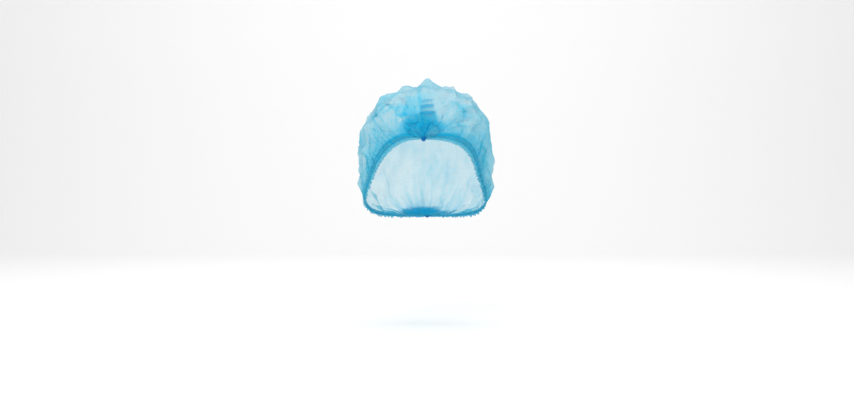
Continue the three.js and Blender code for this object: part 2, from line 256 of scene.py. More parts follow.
@dataclass(frozen=True)
class CapForm:
    """The form that the web lies on, as the frame's crown has it.

    Attributes:
        seam: the line where the elastic gathers the web; left x, right x, y and z of each station.
        ridge: the line over the top of the cap; x, y and z of each station.
        fullness: share along, and the half width of the cap there on the left and on the right.
        puffs: where slack web stands out.
        bundle_end: share along where a pleat bundle opens into the crown.
        ridge_length: length of the ridge, in millimetres.
        gather_pitch: distance between two gathers along a seam, in millimetres.
        pleats: pleats from seam to seam in each bundle.
    """

    seam: tuple = (
        (-4, -4, -101, -2),
        (-28, 27, -96, -1),
        (-45, 47, -84, -7),
        (-54, 56, -74, -14),
        (-65, 64, -58, -27),
        (-74, 70, -38, -45),
        (-82, 77, -14, -66),
        (-84, 80, 9, -84),
        (-74, 71, 31, -96),
        (-54, 52, 52, -101),
        (-28, 28, 67, -103),
        (0, 0, 72, -103),
    )
    ridge: tuple = (
        (-4, -101, -2),
        (-2, -107, 18),
        (-1, -104, 39),
        (0, -88, 56),
        (0, -58, 67),
        (0, -12, 71),
        (0, 44, 69),
        (0, 92, 49),
        (0, 120, 14),
        (0, 127, -26),
        (0, 119, -64),
        (0, 98, -92),
        (0, 72, -103),
    )
    fullness: tuple = (
        (0.0, 2, 2),
        (0.06, 24, 23),
        (0.12, 44, 41),
        (0.2, 64, 62),
        (0.3, 77, 76),
        (0.42, 85, 84),
        (0.55, 87, 86),
        (0.68, 86, 86),
        (0.8, 75, 75),
        (0.9, 51, 50),
        (1.0, 2, 2),
    )
    puffs: tuple = (
        Puff("crest", 0.36, 0.008, 10, 24, 8),
        Puff("crest_hook", 0.33, 0.035, 2, 14, 6),
        Puff("crest_foot", 0.27, 0.11, -3, 18, 8),
        Puff("front_top", 0.26, 0.02, -5, 34, 44),
        Puff("front_left", 0.23, -0.26, 3, 16, 13),
        Puff("front_right", 0.26, 0.24, 3, 18, 13),
        Puff("corner_left", 0.25, -0.41, 8, 18, 9),
        Puff("corner_top_left", 0.245, -0.17, 4, 20, 8),
        Puff("dip_top_left", 0.245, -0.27, -3, 20, 7),
        Puff("corner_top_right", 0.27, 0.19, 3, 20, 8),
        Puff("dip_right", 0.25, 0.30, -4, 20, 8),
        Puff("corner_right", 0.265, 0.405, 2.5, 18, 8),
        Puff("brow_left", 0.17, -0.55, 5, 16, 16),
        Puff("brow_right", 0.18, 0.55, 5, 18, 15),
        Puff("temple_left", 0.31, -0.6, 4, 16, 14),
        Puff("temple_right", 0.33, 0.64, 2.5, 16, 14),
        Puff("shoulder_left", 0.46, -0.60, 5, 26, 14),
        Puff("shoulder_right", 0.46, 0.4, 3, 24, 10),
        Puff("side_right_high", 0.48, 0.58, 5, 24, 9),
        Puff("side_left_mid", 0.5, -0.72, 4, 22, 10),
        Puff("side_left_low", 0.57, -0.88, 4, 22, 12),
        Puff("side_right_mid", 0.5, 0.80, 4, 26, 10),
        Puff("side_right_notch", 0.55, 0.87, -3, 18, 4),
        Puff("side_right_low", 0.58, 0.925, 9.5, 28, 12),
        Puff("top_left", 0.55, -0.2, 3, 20, 16),
        Puff("top_right", 0.57, 0.22, 2, 22, 15),
        Puff("tail_left", 0.69, -0.92, 6, 22, 12),
        Puff("back_left", 0.68, -0.42, 8, 24, 18),
        Puff("back_middle", 0.7, 0.02, 6, 20, 16),
        Puff("back_right", 0.7, 0.48, 7, 24, 18),
        Puff("bag_left", 0.81, -0.24, 7, 18, 16),
        Puff("bag_right", 0.82, 0.28, 8, 18, 16),
        Puff("nape_left", 0.88, -0.6, 5, 16, 16),
        Puff("nape_right", 0.88, 0.62, 5, 16, 16),
    )
    bundle_end: float = 0.062
    ridge_length: float = 438.0
    gather_pitch: float = 5.8
    pleats: int = 19

    def seam_table(self, side: Side) -> Array:
        """Stations of one seam, one row of x, y and z each."""
        return np.array(self.seam, float)[:, [0 if side is Side.LEFT else 1, 2, 3]]

    def seam_length(self, side: Side) -> float:
        """Length of one seam, in millimetres."""
        return float(curve_chords(self.seam_table(side))[1][-1])

    def widths(self, along: Array, side: Side) -> Array:
        """Half width of the cap on one side: a cubic between the table's rows, with the rows' mean slopes.

        Args:
            along: shares along the cap.
            side: which side.

        Returns:
            Half widths in millimetres, with the shape of along.
        """
        table = np.array(self.fullness, float)
        x, y = table[:, 0], table[:, 1 if side is Side.LEFT else 2]
        first, last = (y[1] - y[0]) / (x[1] - x[0]), (y[-1] - y[-2]) / (x[-1] - x[-2])
        slopes = np.concatenate([[first], (y[2:] - y[:-2]) / (x[2:] - x[:-2]), [last]])
        k = np.clip(np.searchsorted(x, along, side="right") - 1, 0, len(x) - 2)
        span = x[k + 1] - x[k]
        return hermite((along - x[k]) / span, y[k], y[k + 1], slopes[k], slopes[k + 1], span)

    def smooth(self, along: Array, across: Array) -> Array:
        """Points on the smooth form, in millimetres.

        Each section is part of an ellipse that stands on the two seams, swells to the cap's half width beside
        the head and meets the ridge: foot + side * width * sin(a) + up * radius * (cos(a) - cos(end)), where a
        runs from 0 at the ridge to end at the seam.

        Args:
            along: shares along the cap.
            across: shares across it, of a shape that fits along.

        Returns:
            Points with a last axis of 3.
        """
        along, across = np.broadcast_arrays(np.asarray(along, float), np.asarray(across, float))
        left, right = (curve_points(self.seam_table(side), along) for side in Side)
        foot = (left + right) / 2
        half = np.maximum(np.linalg.norm(right - foot, axis=-1), 1e-6)
        upward = curve_points(np.array(self.ridge, float), along) - foot
        rise = np.maximum(np.linalg.norm(upward, axis=-1), 1e-6)
        full = np.where(across < 0, *(self.widths(along, side) for side in Side))
        full = np.maximum(full, half * 1.02)
        end = np.pi - np.arcsin(half / full)
        angle = end * np.abs(across)
        radius = rise / (1 - np.cos(end))
        sideways = (full * np.sin(angle) * np.sign(across) / half)[..., None] * (right - foot)
        return foot + sideways + (radius * (np.cos(angle) - np.cos(end)) / rise)[..., None] * upward

    def slopes(self, along: Array, across: Array, step: float = 1e-3) -> tuple[Array, ...]:
        """Unit directions on the smooth form, from differences over a small step.

        Args:
            along: shares along the cap.
            across: shares across it.
            step: the difference in share.

        Returns:
            The way along the cap, the way across it and the outward normal, which is the second crossed with
            the first.
        """
        a = np.clip(along, 2 * step, 1 - 2 * step)
        c = np.clip(across, -1 + step, 1 - step)
        onward = unit(self.smooth(a + step, c) - self.smooth(a - step, c))
        sideways = unit(self.smooth(a, c + step) - self.smooth(a, c - step))
        return onward, sideways, unit(np.cross(sideways, onward))

    def apart(self, along: Array, across: Array, spot: Puff | Doubling) -> Array:
        """Squared distance from the middle of a spot, counted in the spot's half lengths.

        Args:
            along: shares along the cap.
            across: shares across it.
            spot: the spot.

        Returns:
            The sum of the squares of the two distances, each over its half length.
        """
        width = float(self.widths(np.array(spot.along), Side.LEFT)) * 2
        far_long = (along - spot.along) * self.ridge_length / spot.long
        far_wide = (across - spot.across) * width / spot.wide
        return far_long**2 + far_wide**2

    def puffed(self, along: Array, across: Array) -> Array:
        """The smooth form lifted along its normals by the puffs, each height * exp(-distance^1.6).

        Args:
            along: shares along the cap.
            across: shares across it.

        Returns:
            Points with a last axis of 3, in millimetres.
        """
        height = np.zeros(np.broadcast(along, across).shape)
        for puff in self.puffs:
            height += puff.height * np.exp(-(self.apart(along, across, puff) ** 0.8))
        height *= ease(1 - np.abs(across), 0, 0.08) * ease(np.minimum(along, 1 - along), self.bundle_end, 0.16)
        return self.smooth(along, across) + height[..., None] * self.slopes(along, across)[2]

    def seam_frame(self, along: Array, side: Side) -> tuple[Array, ...]:
        """Where the seam runs, and the ways on it.

        Args:
            along: shares along the cap.
            side: which side.

        Returns:
            The seam's points, the way along it, the way out of the crown in the plane of the web, and the way
            off the head, each with an axis of length 1 for columns.
        """
        edge = np.full_like(along, side.value, dtype=float)
        seat = self.smooth(along, edge)
        out = unit(seat - self.smooth(along, edge * 0.97))
        up = self.slopes(along, edge)[2]
        up = unit(up - (up * out).sum(-1, keepdims=True) * out)
        return tuple(part[:, None] for part in (seat, unit(np.gradient(seat, axis=0)), out, up))

    def gather_phase(self, along: Array, side: Side) -> Array:
        """Phase of the gathers along a seam: an even pitch that a few slow waves hurry and hold back.

        Args:
            along: shares along the cap.
            side: which side's seam.

        Returns:
            The phase in radians, with the shape of along.
        """
        run = along * self.seam_length(side)
        turn = 0.7 * side.value
        wander = 0.24 * np.sin(run / 4.9 + turn) + 0.2 * np.sin(run / 2.7 + 4 * turn) + 0.4 * np.sin(run / 13 + turn)
        return 2 * np.pi * (run / self.gather_pitch + wander)

    def pleat_phase(self, along: Array, across: Array, end: End) -> Array:
        """Phase of the pleats that fan out of a bundle, which drift a little from their even spacing.

        Args:
            along: shares along the cap.
            across: shares across it.
            end: which end's bundle.

        Returns:
            The phase in radians.
        """
        far = np.abs(along - end.value)
        drift = 0.07 * np.sin(5.1 * across + 9 * far + end.value) + 0.035 * np.sin(13 * across - 7 * far)
        return np.pi * self.pleats * (across + drift)


# ---- Slack web that buckles ----


@dataclass
class SlackWeb:
    """A grid of web that holds more length than the form it lies on, let go until it has buckled into folds.

    Every pair of neighbours is a spring with a length of its own. The web is settled on a coarse grid first,
    which makes the wide folds, and then on finer ones, which add the narrow folds between them. A step moves
    each point on by part of its last move, pushes it out a little, and then pulls every spring towards its
    length, one set of springs that share no point after another.

    Attributes:
        form: the points it starts from and stays near, rows by columns by 3, in millimetres.
        slack_along: how many times longer the web is than the form along the rows.
        slack_across: the same across the columns.
        reach: the farthest a point may lie from the form.
        seed: the first small folds, added to the form.
        steps: steps at each level, from the coarsest.
        most_slack: the most slack that each level's springs may use.
        carry: the share of its last move that a point makes again.
        push: how far a step pushes a point out, in millimetres on the finest grid.
        growing: the share of a level's steps over which its springs reach their lengths.
        kept: the share of the first folds' finer part that each level adds.
        shear: strength of the springs along the diagonals.
        bending: strength of the springs past one point.
    """

    form: Array
    slack_along: Array
    slack_across: Array
    reach: Array
    seed: Array
    steps: tuple = (120, 120, 110, 90)
    most_slack: tuple = (0.10, 0.18, 0.30, 1.0)
    carry: float = 0.86
    push: float = 0.012
    growing: float = 0.6
    kept: float = 0.6
    shear: float = 0.45
    bending: float = 0.05

    def settled(self) -> Array:
        """Lets the web go on each grid in turn.

        Returns:
            The web once it has buckled: points of the finest grid, in millimetres.
        """
        points = None
        for level in range(len(self.steps)):
            stride = 2 ** (len(self.steps) - 1 - level)
            form, seed = self.form[::stride, ::stride], self.seed[::stride, ::stride]
            if points is None:
                points = form + seed
            else:
                points = finer(points) + self.kept * (seed - finer(self.seed[:: 2 * stride, :: 2 * stride]))
            points = self.settle_level(points, form, stride, level)
        return points

    def settle_level(self, points: Array, form: Array, stride: int, level: int) -> Array:
        """Settles the web on one grid.

        Args:
            points: where its points start.
            form: the form on this grid.
            stride: fine grid steps to one step here.
            level: which level this is.

        Returns:
            The settled points.
        """
        springs = self.springs(form, stride, level)
        free = np.ones(form.shape[:2])
        free[0], free[-1], free[:, 0], free[:, -1] = 0, 0, 0, 0
        reach = self.reach[::stride, ::stride]
        last = points.copy()
        for step in range(self.steps[level]):
            growth = min(1.0, (step + 1) / (self.growing * self.steps[level]))
            move = (points - last) * self.carry
            last = points.copy()
            points += (move + self.push * stride * grid_normals(points)) * free[..., None]
            for offset, base, full, strength in springs:
                pull(points, free, offset, base + (full - base) * growth, strength)
            away = points - form
            far = np.linalg.norm(away, axis=-1)
            points = form + away * np.minimum(1.0, reach / np.maximum(far, 1e-9))[..., None]
        return points

    def springs(self, form: Array, stride: int, level: int) -> list:
        """The springs of one level.

        Args:
            form: the form on this grid.
            stride: fine grid steps to one step here.
            level: which level this is.

        Returns:
            For each kind, the grid offset, the form's own lengths, the web's lengths and the strength.
        """
        most = self.most_slack[level]
        extra_along, extra_across = (
            1 + np.minimum(slack[::stride, ::stride] - 1, most) for slack in (self.slack_along, self.slack_across)
        )
        strengths = {(1, 0): 1.0, (0, 1): 1.0, (1, 1): self.shear, (1, -1): self.shear}
        found = []
        for offset, strength in (strengths | {(2, 0): self.bending, (0, 2): self.bending}).items():
            here, there = ends_of(offset)
            base = np.linalg.norm(form[there] - form[here], axis=-1)
            share = offset[0] / (offset[0] + abs(offset[1]))
            blend = share * extra_along[here] ** 2 + (1 - share) * extra_across[here] ** 2
            found.append((offset, base, base * np.sqrt(blend), strength))
        return found


def ends_of(offset: tuple[int, int]) -> tuple:
    """The slices of a grid that hold the first and the second ends of all springs with one offset.

    Args:
        offset: rows down, and columns over, from a spring's first end to its second.

    Returns:
        The two pairs of slices.
    """
    down, over = offset
    left, right = slice(None, -abs(over) or None), slice(abs(over), None)
    columns = (left, right) if over >= 0 else (right, left)
    return (slice(None, -down or None), columns[0]), (slice(down, None), columns[1])


def pull(points: Array, free: Array, offset: tuple[int, int], rest: Array, strength: float) -> None:
    """Moves the ends of all springs with one offset towards their lengths, in sets that share no point.

    Each end moves by strength * (length - rest) along the spring, shared between the ends that are free.

    Args:
        points: the grid's points, changed in place.
        free: 1 where a point may move and 0 where it is held.
        offset: rows and columns from a spring's first end to its second.
        rest: the springs' lengths.
        strength: the share of the error taken out at once.
    """
    here, there = ends_of(offset)
    first, second, free_first, free_second = points[here], points[there], free[here], free[there]
    jump = 2 * (offset[0] or offset[1])
    for start in range(jump):
        chosen = slice(start, None, jump)
        part = (chosen, slice(None)) if offset[0] else (slice(None), chosen)
        a, b, wa, wb = first[part], second[part], free_first[part], free_second[part]
        gap = b - a
        length = np.sqrt(np.einsum("ijk,ijk->ij", gap, gap)) + 1e-9
        change = strength * (length - rest[part]) / (length * (wa + wb + 1e-9))
        a += (change * wa)[..., None] * gap
        b -= (change * wb)[..., None] * gap


def finer(grid: Array) -> Array:
    """A grid with twice the steps: new points are (9 (a + b) - (c + d)) / 16 of the four nearest in line.

    Args:
        grid: rows by columns, with any last axes.

    Returns:
        The finer grid, whose every second row and column are the old ones.
    """
    for axis in (0, 1):
        g = np.moveaxis(grid, axis, 0)
        padded = np.concatenate([2 * g[:1] - g[1:2], g, 2 * g[-1:] - g[-2:-1]])
        middle = (9 * (padded[1:-2] + padded[2:-1]) - (padded[:-3] + padded[3:])) / 16
        wide = np.empty((2 * len(g) - 1,) + g.shape[1:])
        wide[::2], wide[1::2] = g, middle
        grid = np.moveaxis(wide, 0, axis)
    return grid


def grid_normals(points: Array) -> Array:
    """Outward normals of a grid: the cross product of its slopes across and along, from central differences."""
    return unit(np.cross(np.gradient(points, axis=1), np.gradient(points, axis=0)))


def sampled(grid: Array, rows: Array, columns: Array) -> Array:
    """A grid read between its points, by weighting the four nearest.

    Args:
        grid: rows by columns by any last axis.
        rows: fractional row numbers.
        columns: fractional column numbers, of the same shape.

    Returns:
        The values there.
    """
    i = np.clip(rows.astype(int), 0, grid.shape[0] - 2)
    j = np.clip(columns.astype(int), 0, grid.shape[1] - 2)
    a, b = (rows - i)[..., None], (columns - j)[..., None]
    low = grid[i, j] * (1 - b) + grid[i, j + 1] * b
    return low * (1 - a) + (grid[i + 1, j] * (1 - b) + grid[i + 1, j + 1] * b) * a


# ---- Meshes from grids ----


def mesh_object(name: str, points: Array, faces: Array, finish: Material) -> Piece:
    """A smooth-shaded mesh object at the origin.

    Args:
        name: the piece's name.
        points: its vertices in metres, with a last axis of 3.
        faces: four vertex numbers for each face.
        finish: its material.

    Returns:
        The object, linked to the scene.
    """
    mesh = bpy.data.meshes.new(name)
    mesh.vertices.add(points.size // 3)
    mesh.vertices.foreach_set("co", points.astype(np.float32).ravel())
    mesh.loops.add(faces.size)
    mesh.loops.foreach_set("vertex_index", faces.astype(np.int32).ravel())
    mesh.polygons.add(len(faces))
    mesh.polygons.foreach_set("loop_start", np.arange(0, faces.size, 4, dtype=np.int32))
    mesh.polygons.foreach_set("use_smooth", np.ones(len(faces), bool))
    mesh.update(calc_edges=True)
    mesh.validate()
    mesh.materials.append(finish)
    piece = bpy.data.objects.new(name, mesh)
    bpy.context.scene.collection.objects.link(piece)
    return piece


def grid_faces(rows: int, columns: int, round_columns: bool = False) -> Array:
    """Quads of a grid of points, facing out where rows run along the cap and columns across it.

    Args:
        rows: rows of points.
        columns: columns of points.
        round_columns: whether the last column joins the first.

    Returns:
        Four vertex numbers for each quad.
    """
    index = np.arange(rows * columns).reshape(rows, columns)
    if round_columns:
        index = np.hstack([index, index[:, :1]])
    corners = [index[:-1, :-1], index[:-1, 1:], index[1:, 1:], index[1:, :-1]]
    return np.stack(corners, axis=-1).reshape(-1, 4)


def tube_faces(points: Array) -> Array:
    """Quads of a closed piece made of rings, facing out.

    Column k of a ring lies opposite column (last - k), so that rows of quads between the two close both ends.
    The faces are turned over if the volume they enclose, a sixth of the sum of each face's triple products,
    is negative.

    Args:
        points: rings by columns by 3.

    Returns:
        Four vertex numbers for each quad.
    """
    rings, columns = points.shape[:2]
    k = np.arange(columns // 2 - 1)
    near = np.stack([k + 1, k, columns - 1 - k, columns - 2 - k], axis=-1)
    far = near[:, [1, 0, 3, 2]] + (rings - 1) * columns
    faces = np.concatenate([grid_faces(rings, columns, round_columns=True), near, far])
    a, b, c, d = (points.reshape(-1, 3)[faces[:, corner]] for corner in range(4))
    volume = (a * (np.cross(b, c) + np.cross(c, d))).sum()
    return faces if volume > 0 else faces[:, ::-1]


def both_faces(outer: Array, inner: Array) -> Array:
    """Rings made of the columns of a piece's outer face, and of its inner face in reverse."""
    return np.concatenate([outer, inner[:, ::-1]], axis=1)


def ring_piece(name: str, outer: Array, inner: Array, finish: Material) -> Piece:
    """A closed piece made of rings, from rows of points in millimetres on its outer and its inner face."""
    rings = both_faces(outer, inner)
    return mesh_object(name, rings * MM, tube_faces(rings), finish)


def ring_web(name: str, outer: Array, inner: Array, web: Material, *worn: Array) -> Piece:
    """A closed piece of web made of rings, dressed alike on both faces.

    Args:
        name: the piece's name.
        outer: rows of points in millimetres on its outer face.
        inner: the same on its inner face.
        web: the web's material.
        worn: for one face, the flat coordinates, the gather and the cover.

    Returns:
        The piece.
    """
    piece = ring_piece(name, outer, inner, web)
    dress(piece, *(both_faces(values, values) for values in worn))
    return piece


def flat_map(wide: Array, long: Array) -> Array:
    """The web's flat coordinates in metres, from those across and along in millimetres."""
    return np.stack(np.broadcast_arrays(wide, long), axis=-1) * MM


def dress(piece: Piece, flat: Array, gather: Array, cover: Array) -> None:
    """Puts the UV map "web" and the attributes "gather" and "cover" on a piece.

    Args:
        piece: the piece.
        flat: the web's flat coordinates at each vertex, in metres.
        gather: how tightly the web is bunched at each vertex, from 0 to TIGHTEST.
        cover: 1, or less where an edge thins out over the layer that it merges into.
    """
    mesh = piece.data
    corners = np.empty(len(mesh.loops), np.int32)
    mesh.loops.foreach_get("vertex_index", corners)
    uv = mesh.uv_layers.new(name="web")
    uv.data.foreach_set("uv", flat.reshape(-1, 2)[corners].astype(np.float32).ravel())
    for name, values, most in (("gather", gather, TIGHTEST), ("cover", cover, 1)):
        attribute = mesh.attributes.new(name, "FLOAT", "POINT")
        attribute.data.foreach_set("value", np.clip(values, 0, most).astype(np.float32).ravel())


# ---- Finishes ----


def linear(code: str) -> tuple[float, float, float, float]:
    """An sRGB hex colour as linear RGBA."""
    parts = [int(code[k : k + 2], 16) / 255 for k in (1, 3, 5)]
    return tuple(p / 12.92 if p <= 0.04045 else ((p + 0.055) / 1.055) ** 2.4 for p in parts) + (1.0,)


def add_node(tree: Tree, kind: str, settings: dict | None = None, **inputs: object) -> bpy.types.Node:
    """Adds a node with its settings, its constant inputs and its links.

    Args:
        tree: the node tree.
        kind: the node's type name, less "ShaderNode".
        settings: properties of the node itself.
        inputs: by input name with "_" for a space, or "at" and a number, an output socket or a value.

    Returns:
        The node.
    """
    node = tree.nodes.new(f"ShaderNode{kind}")
    for name, value in (settings or {}).items():
        setattr(node, name, value)
    for name, value in inputs.items():
        key = int(name[2:]) if name[:2] == "at" else name.replace("_", " ")
        if isinstance(value, Socket):
            tree.links.new(value, node.inputs[key])
        else:
            node.inputs[key].default_value = value
    return node


@dataclass(frozen=True)
class Finish:
    """What every finish has: its material's name, and its node tree with one surface shader."""

    name: str

    def build(self) -> Material:
        """Makes the finish's material.

        Returns:
            The node material, with the shader that the finish's own surface method makes.
        """
        material = bpy.data.materials.new(self.name)
        material.use_nodes = True
        tree = material.node_tree
        tree.nodes.clear()
        output = tree.nodes.new("ShaderNodeOutputMaterial")
        tree.links.new(self.surface(tree), output.inputs["Surface"])
        return material

    def surface(self, tree: Tree) -> Socket:
        """The surface shader."""
        raise NotImplementedError


@dataclass(frozen=True)
class SpunbondWeb(Finish):
    """Spunbond polypropylene nonwoven, about 12 g per square metre: fine fibres laid at random and pinned by
    small hot points. It is matt and see-through, cloudy where more fibres fell, and its blue deepens with
    every layer.

    Attributes:
        name: the material's name.
        pale: colour of one layer.
        deep: colour of many layers together.
        clear: colour that light takes as it passes between the fibres.
        sheer: how much one layer hides.
        dense: how much it hides where it is bunched.
        through: share of the light that one layer scatters forwards.
        dense_through: the same where it is bunched.
        bond_pitch: distance between bond points, in millimetres.
        cloud_width: width of a cloud of fibres.
        tow_width: width of the drawn streaks; real fibres are 0.02 mm wide, too fine to show, so they are
            drawn as the tows that they lie in.
    """

    name: str = "spunbond_nonwoven_web"
    pale: str = "#bbdfe9"
    deep: str = "#18a8d6"
    clear: str = "#e6f3f7"
    sheer: float = 0.36
    dense: float = 0.985
    through: float = 0.4
    dense_through: float = 0.08
    bond_pitch: float = 2.2
    cloud_width: float = 9.0
    tow_width: float = 1.5

    def surface(self, tree: Tree) -> Socket:
        """Cloth over clear gaps, on the piece's own UV map in metres and its attributes "gather" and "cover".

        Args:
            tree: the node tree.

        Returns:
            The surface shader.
        """
        web = add_node(tree, "UVMap", {"uv_map": "web"}).outputs["UV"]
        gather, cover = (add_node(tree, "Attribute", {"attribute_name": n}).outputs["Fac"] for n in ("gather", "cover"))
        cloud = self.noise(tree, web, self.cloud_width, (1.0, 1.0, 1.0))
        tows = self.noise(tree, web, self.tow_width, (0.18, 1.0, 1.0))
        bonds = self.bond_points(tree, web)
        grey = {"data_type": "FLOAT"}
        body = add_node(tree, "Mix", grey, at0=0.45, at2=cloud, at3=tows).outputs[0]
        relief = add_node(tree, "Mix", grey, at0=0.3, at2=tows, at3=bonds).outputs[0]
        bump = add_node(tree, "Bump", Strength=0.2, Distance=0.0004, Height=relief).outputs["Normal"]
        look = {"Base_Color": self.colour(tree, gather, body), "Normal": bump}
        face = add_node(tree, "BsdfPrincipled", Roughness=0.6, IOR=1.49, Specular_IOR_Level=0.0, **look)
        glow = add_node(tree, "BsdfTranslucent", Color=look["Base_Color"], Normal=bump)
        through = add_node(tree, "MapRange", at0=gather, at3=self.through, at4=self.dense_through).outputs["Result"]
        cloth = add_node(tree, "MixShader", at0=through, at1=face.outputs["BSDF"], at2=glow.outputs["BSDF"])
        tints = {"at0": cover, "at6": linear("#ffffff"), "at7": linear(self.clear)}
        tint = add_node(tree, "Mix", {"data_type": "RGBA"}, **tints).outputs[2]
        gaps = add_node(tree, "BsdfTransparent", Color=tint).outputs["BSDF"]
        hides = self.opacity(tree, gather, cover, body, bonds)
        return add_node(tree, "MixShader", at0=hides, at1=gaps, at2=cloth.outputs["Shader"]).outputs["Shader"]

    def noise(self, tree: Tree, web: Socket, size: float, squash: tuple) -> Socket:
        """Cloudy noise whose features are size millimetres wide.

        Args:
            tree: the node tree.
            web: the flat coordinates.
            size: width of a feature, in millimetres.
            squash: scale along each axis; below 1 draws the features out that way.

        Returns:
            The noise, from 0 to 1.
        """
        scale = tuple(s * 1000.0 / size for s in squash)
        placed = add_node(tree, "Mapping", Vector=web, Scale=scale).outputs["Vector"]
        return add_node(tree, "TexNoise", Vector=placed, Scale=1.0, Detail=2.5, Roughness=0.55).outputs["Fac"]

    def bond_points(self, tree: Tree, web: Socket) -> Socket:
        """Staggered oval bond points: 1 at a point's middle, where sin(x) * sin(y) of the pitch peaks.

        Args:
            tree: the node tree.
            web: the flat coordinates.

        Returns:
            The pattern, from 0 to 1.
        """
        turn = 2 * np.pi * 1000.0 / self.bond_pitch
        placed = add_node(tree, "Mapping", Vector=web, Scale=(turn, turn * 0.7, 1.0)).outputs["Vector"]
        parts = add_node(tree, "SeparateXYZ", Vector=placed).outputs
        waves = [add_node(tree, "Math", {"operation": "SINE"}, at0=parts[axis]).outputs[0] for axis in "XY"]
        product = add_node(tree, "Math", {"operation": "MULTIPLY"}, at0=waves[0], at1=waves[1]).outputs[0]
        smooth = {"interpolation_type": "SMOOTHSTEP"}
        return add_node(tree, "MapRange", smooth, at0=product, at1=0.45, at2=0.85).outputs["Result"]

    def opacity(self, tree: Tree, gather: Socket, cover: Socket, body: Socket, bonds: Socket) -> Socket:
        """How much the web hides: more where it is bunched or its fibres lie thick, less at a fused point or at an
        edge that thins out.

        Args:
            tree: the node tree.
            gather: how tightly it is bunched.
            cover: how far it has not thinned out.
            body: how thick its fibres lie.
            bonds: where its bond points are.

        Returns:
            The opacity, from 0 to 1.
        """
        base = add_node(tree, "MapRange", at0=gather, at3=self.sheer, at4=self.dense).outputs["Result"]
        thick = add_node(tree, "MapRange", at0=body, at1=0.3, at2=0.7, at3=0.8, at4=1.2).outputs["Result"]
        thin = add_node(tree, "MapRange", at0=bonds, at3=1.0, at4=0.9).outputs["Result"]
        times = {"operation": "MULTIPLY", "use_clamp": True}
        for share in (thick, thin, cover):
            base = add_node(tree, "Math", times, at0=base, at1=share).outputs[0]
        return base

    def colour(self, tree: Tree, gather: Socket, body: Socket) -> Socket:
        """The web's colour: pale^(1 - gather) * deep^gather, since each layer takes its share of the light.

        Args:
            tree: the node tree.
            gather: how tightly it is bunched.
            body: how thick its fibres lie.

        Returns:
            The colour.
        """
        wander = add_node(tree, "MapRange", at0=body, at3=-0.15, at4=0.15).outputs["Result"]
        depth = add_node(tree, "Math", {"operation": "ADD"}, at0=gather, at1=wander).outputs[0]
        share = add_node(tree, "MapRange", at0=depth, at2=TIGHTEST).outputs["Result"]
        ramp = add_node(tree, "ValToRGB", Fac=share)
        pale, deep = (np.array(linear(code)) for code in (self.pale, self.deep))
        stops = ramp.color_ramp.elements
        for share in (0.2, 0.4, 0.6, 0.8):
            stops.new(share)
        for stop in stops:
            stop.color = pale ** (1 - TIGHTEST * stop.position) * deep ** (TIGHTEST * stop.position)
        return ramp.outputs["Color"]


@dataclass(frozen=True)
class MottledSolid(Finish):
    """A solid finish that two close colours mottle, on the piece's own coordinates.

    Attributes:
        colour: the lighter colour.
        shade: the darker colour.
        mottles: mottles to the metre.
        detail: how finely they break up.
        roughness: of the surface.
        ior: of the stuff.
        gloss: its specular level.
        bump: strength of the mottles' relief.
    """

    colour: str
    shade: str
    mottles: float
    detail: float
    roughness: float
    ior: float = 1.5
    gloss: float = 0.1
    bump: float = 0.0

    def surface(self, tree: Tree) -> Socket:
        """One shader in the mottled colour, with a relief where the finish has one.

        Args:
            tree: the node tree.

        Returns:
            The surface shader.
        """
        place = add_node(tree, "TexCoord").outputs["Object"]
        mottle = add_node(tree, "TexNoise", Vector=place, Scale=self.mottles, Detail=self.detail).outputs["Fac"]
        tones = {"at0": mottle, "at6": linear(self.shade), "at7": linear(self.colour)}
        look = {"Base_Color": add_node(tree, "Mix", {"data_type": "RGBA"}, **tones).outputs[2]}
        if self.bump:
            relief = add_node(tree, "Bump", Strength=self.bump, Distance=0.0003, Height=mottle)
            look["Normal"] = relief.outputs["Normal"]
        values = {"Roughness": self.roughness, "IOR": self.ior, "Specular_IOR_Level": self.gloss}
        return add_node(tree, "BsdfPrincipled", **look, **values).outputs["BSDF"]


# Nonwoven melted solid by an ultrasonic weld: its fibres have run together into a film, so it is smooth and
# closed, a deeper blue than the web, with a soft gloss.
FUSED_FILM = MottledSolid("fused_polypropylene_film", "#006db0", "#005c9c", 700.0, 3.0, 0.4, ior=1.49, bump=0.25)
# Thin latex elastic, extruded and dusted: dull and evenly blue.
BLUE_RUBBER = MottledSolid("blue_latex_elastic", "#4aaac8", "#3f9cba", 900.0, 2.0, 0.7)


@dataclass(frozen=True)
class StudioPaper(Finish):
    """Matt white background paper."""

    name: str = "matt_white_paper"
    colour: str = "#fbfbfb"

    def surface(self, tree: Tree) -> Socket:
        """One plain matt shader."""
        return add_node(tree, "BsdfPrincipled", Base_Color=linear(self.colour), Roughness=0.9).outputs["BSDF"]


# ---- The pieces ----


@dataclass(frozen=True)
class Chart:
    """Where each point of the crown's grid lies.

    Attributes:
        along: shares along the cap, as a column.
        across: shares across it, as a row.
        from_pole: distance over the form from the nearer bundle, in millimetres.
        from_seam: distance from the nearer seam.
    """

    along: Array
    across: Array
    from_pole: Array
    from_seam: Array

    @property
    def shape(self) -> tuple[int, int]:
        """Rows and columns of the grid."""
        return self.from_pole.shape

    @property
    def from_end(self) -> Array:
        """Share from the nearer end of the cap, as a column."""
        return np.minimum(self.along, 1 - self.along)


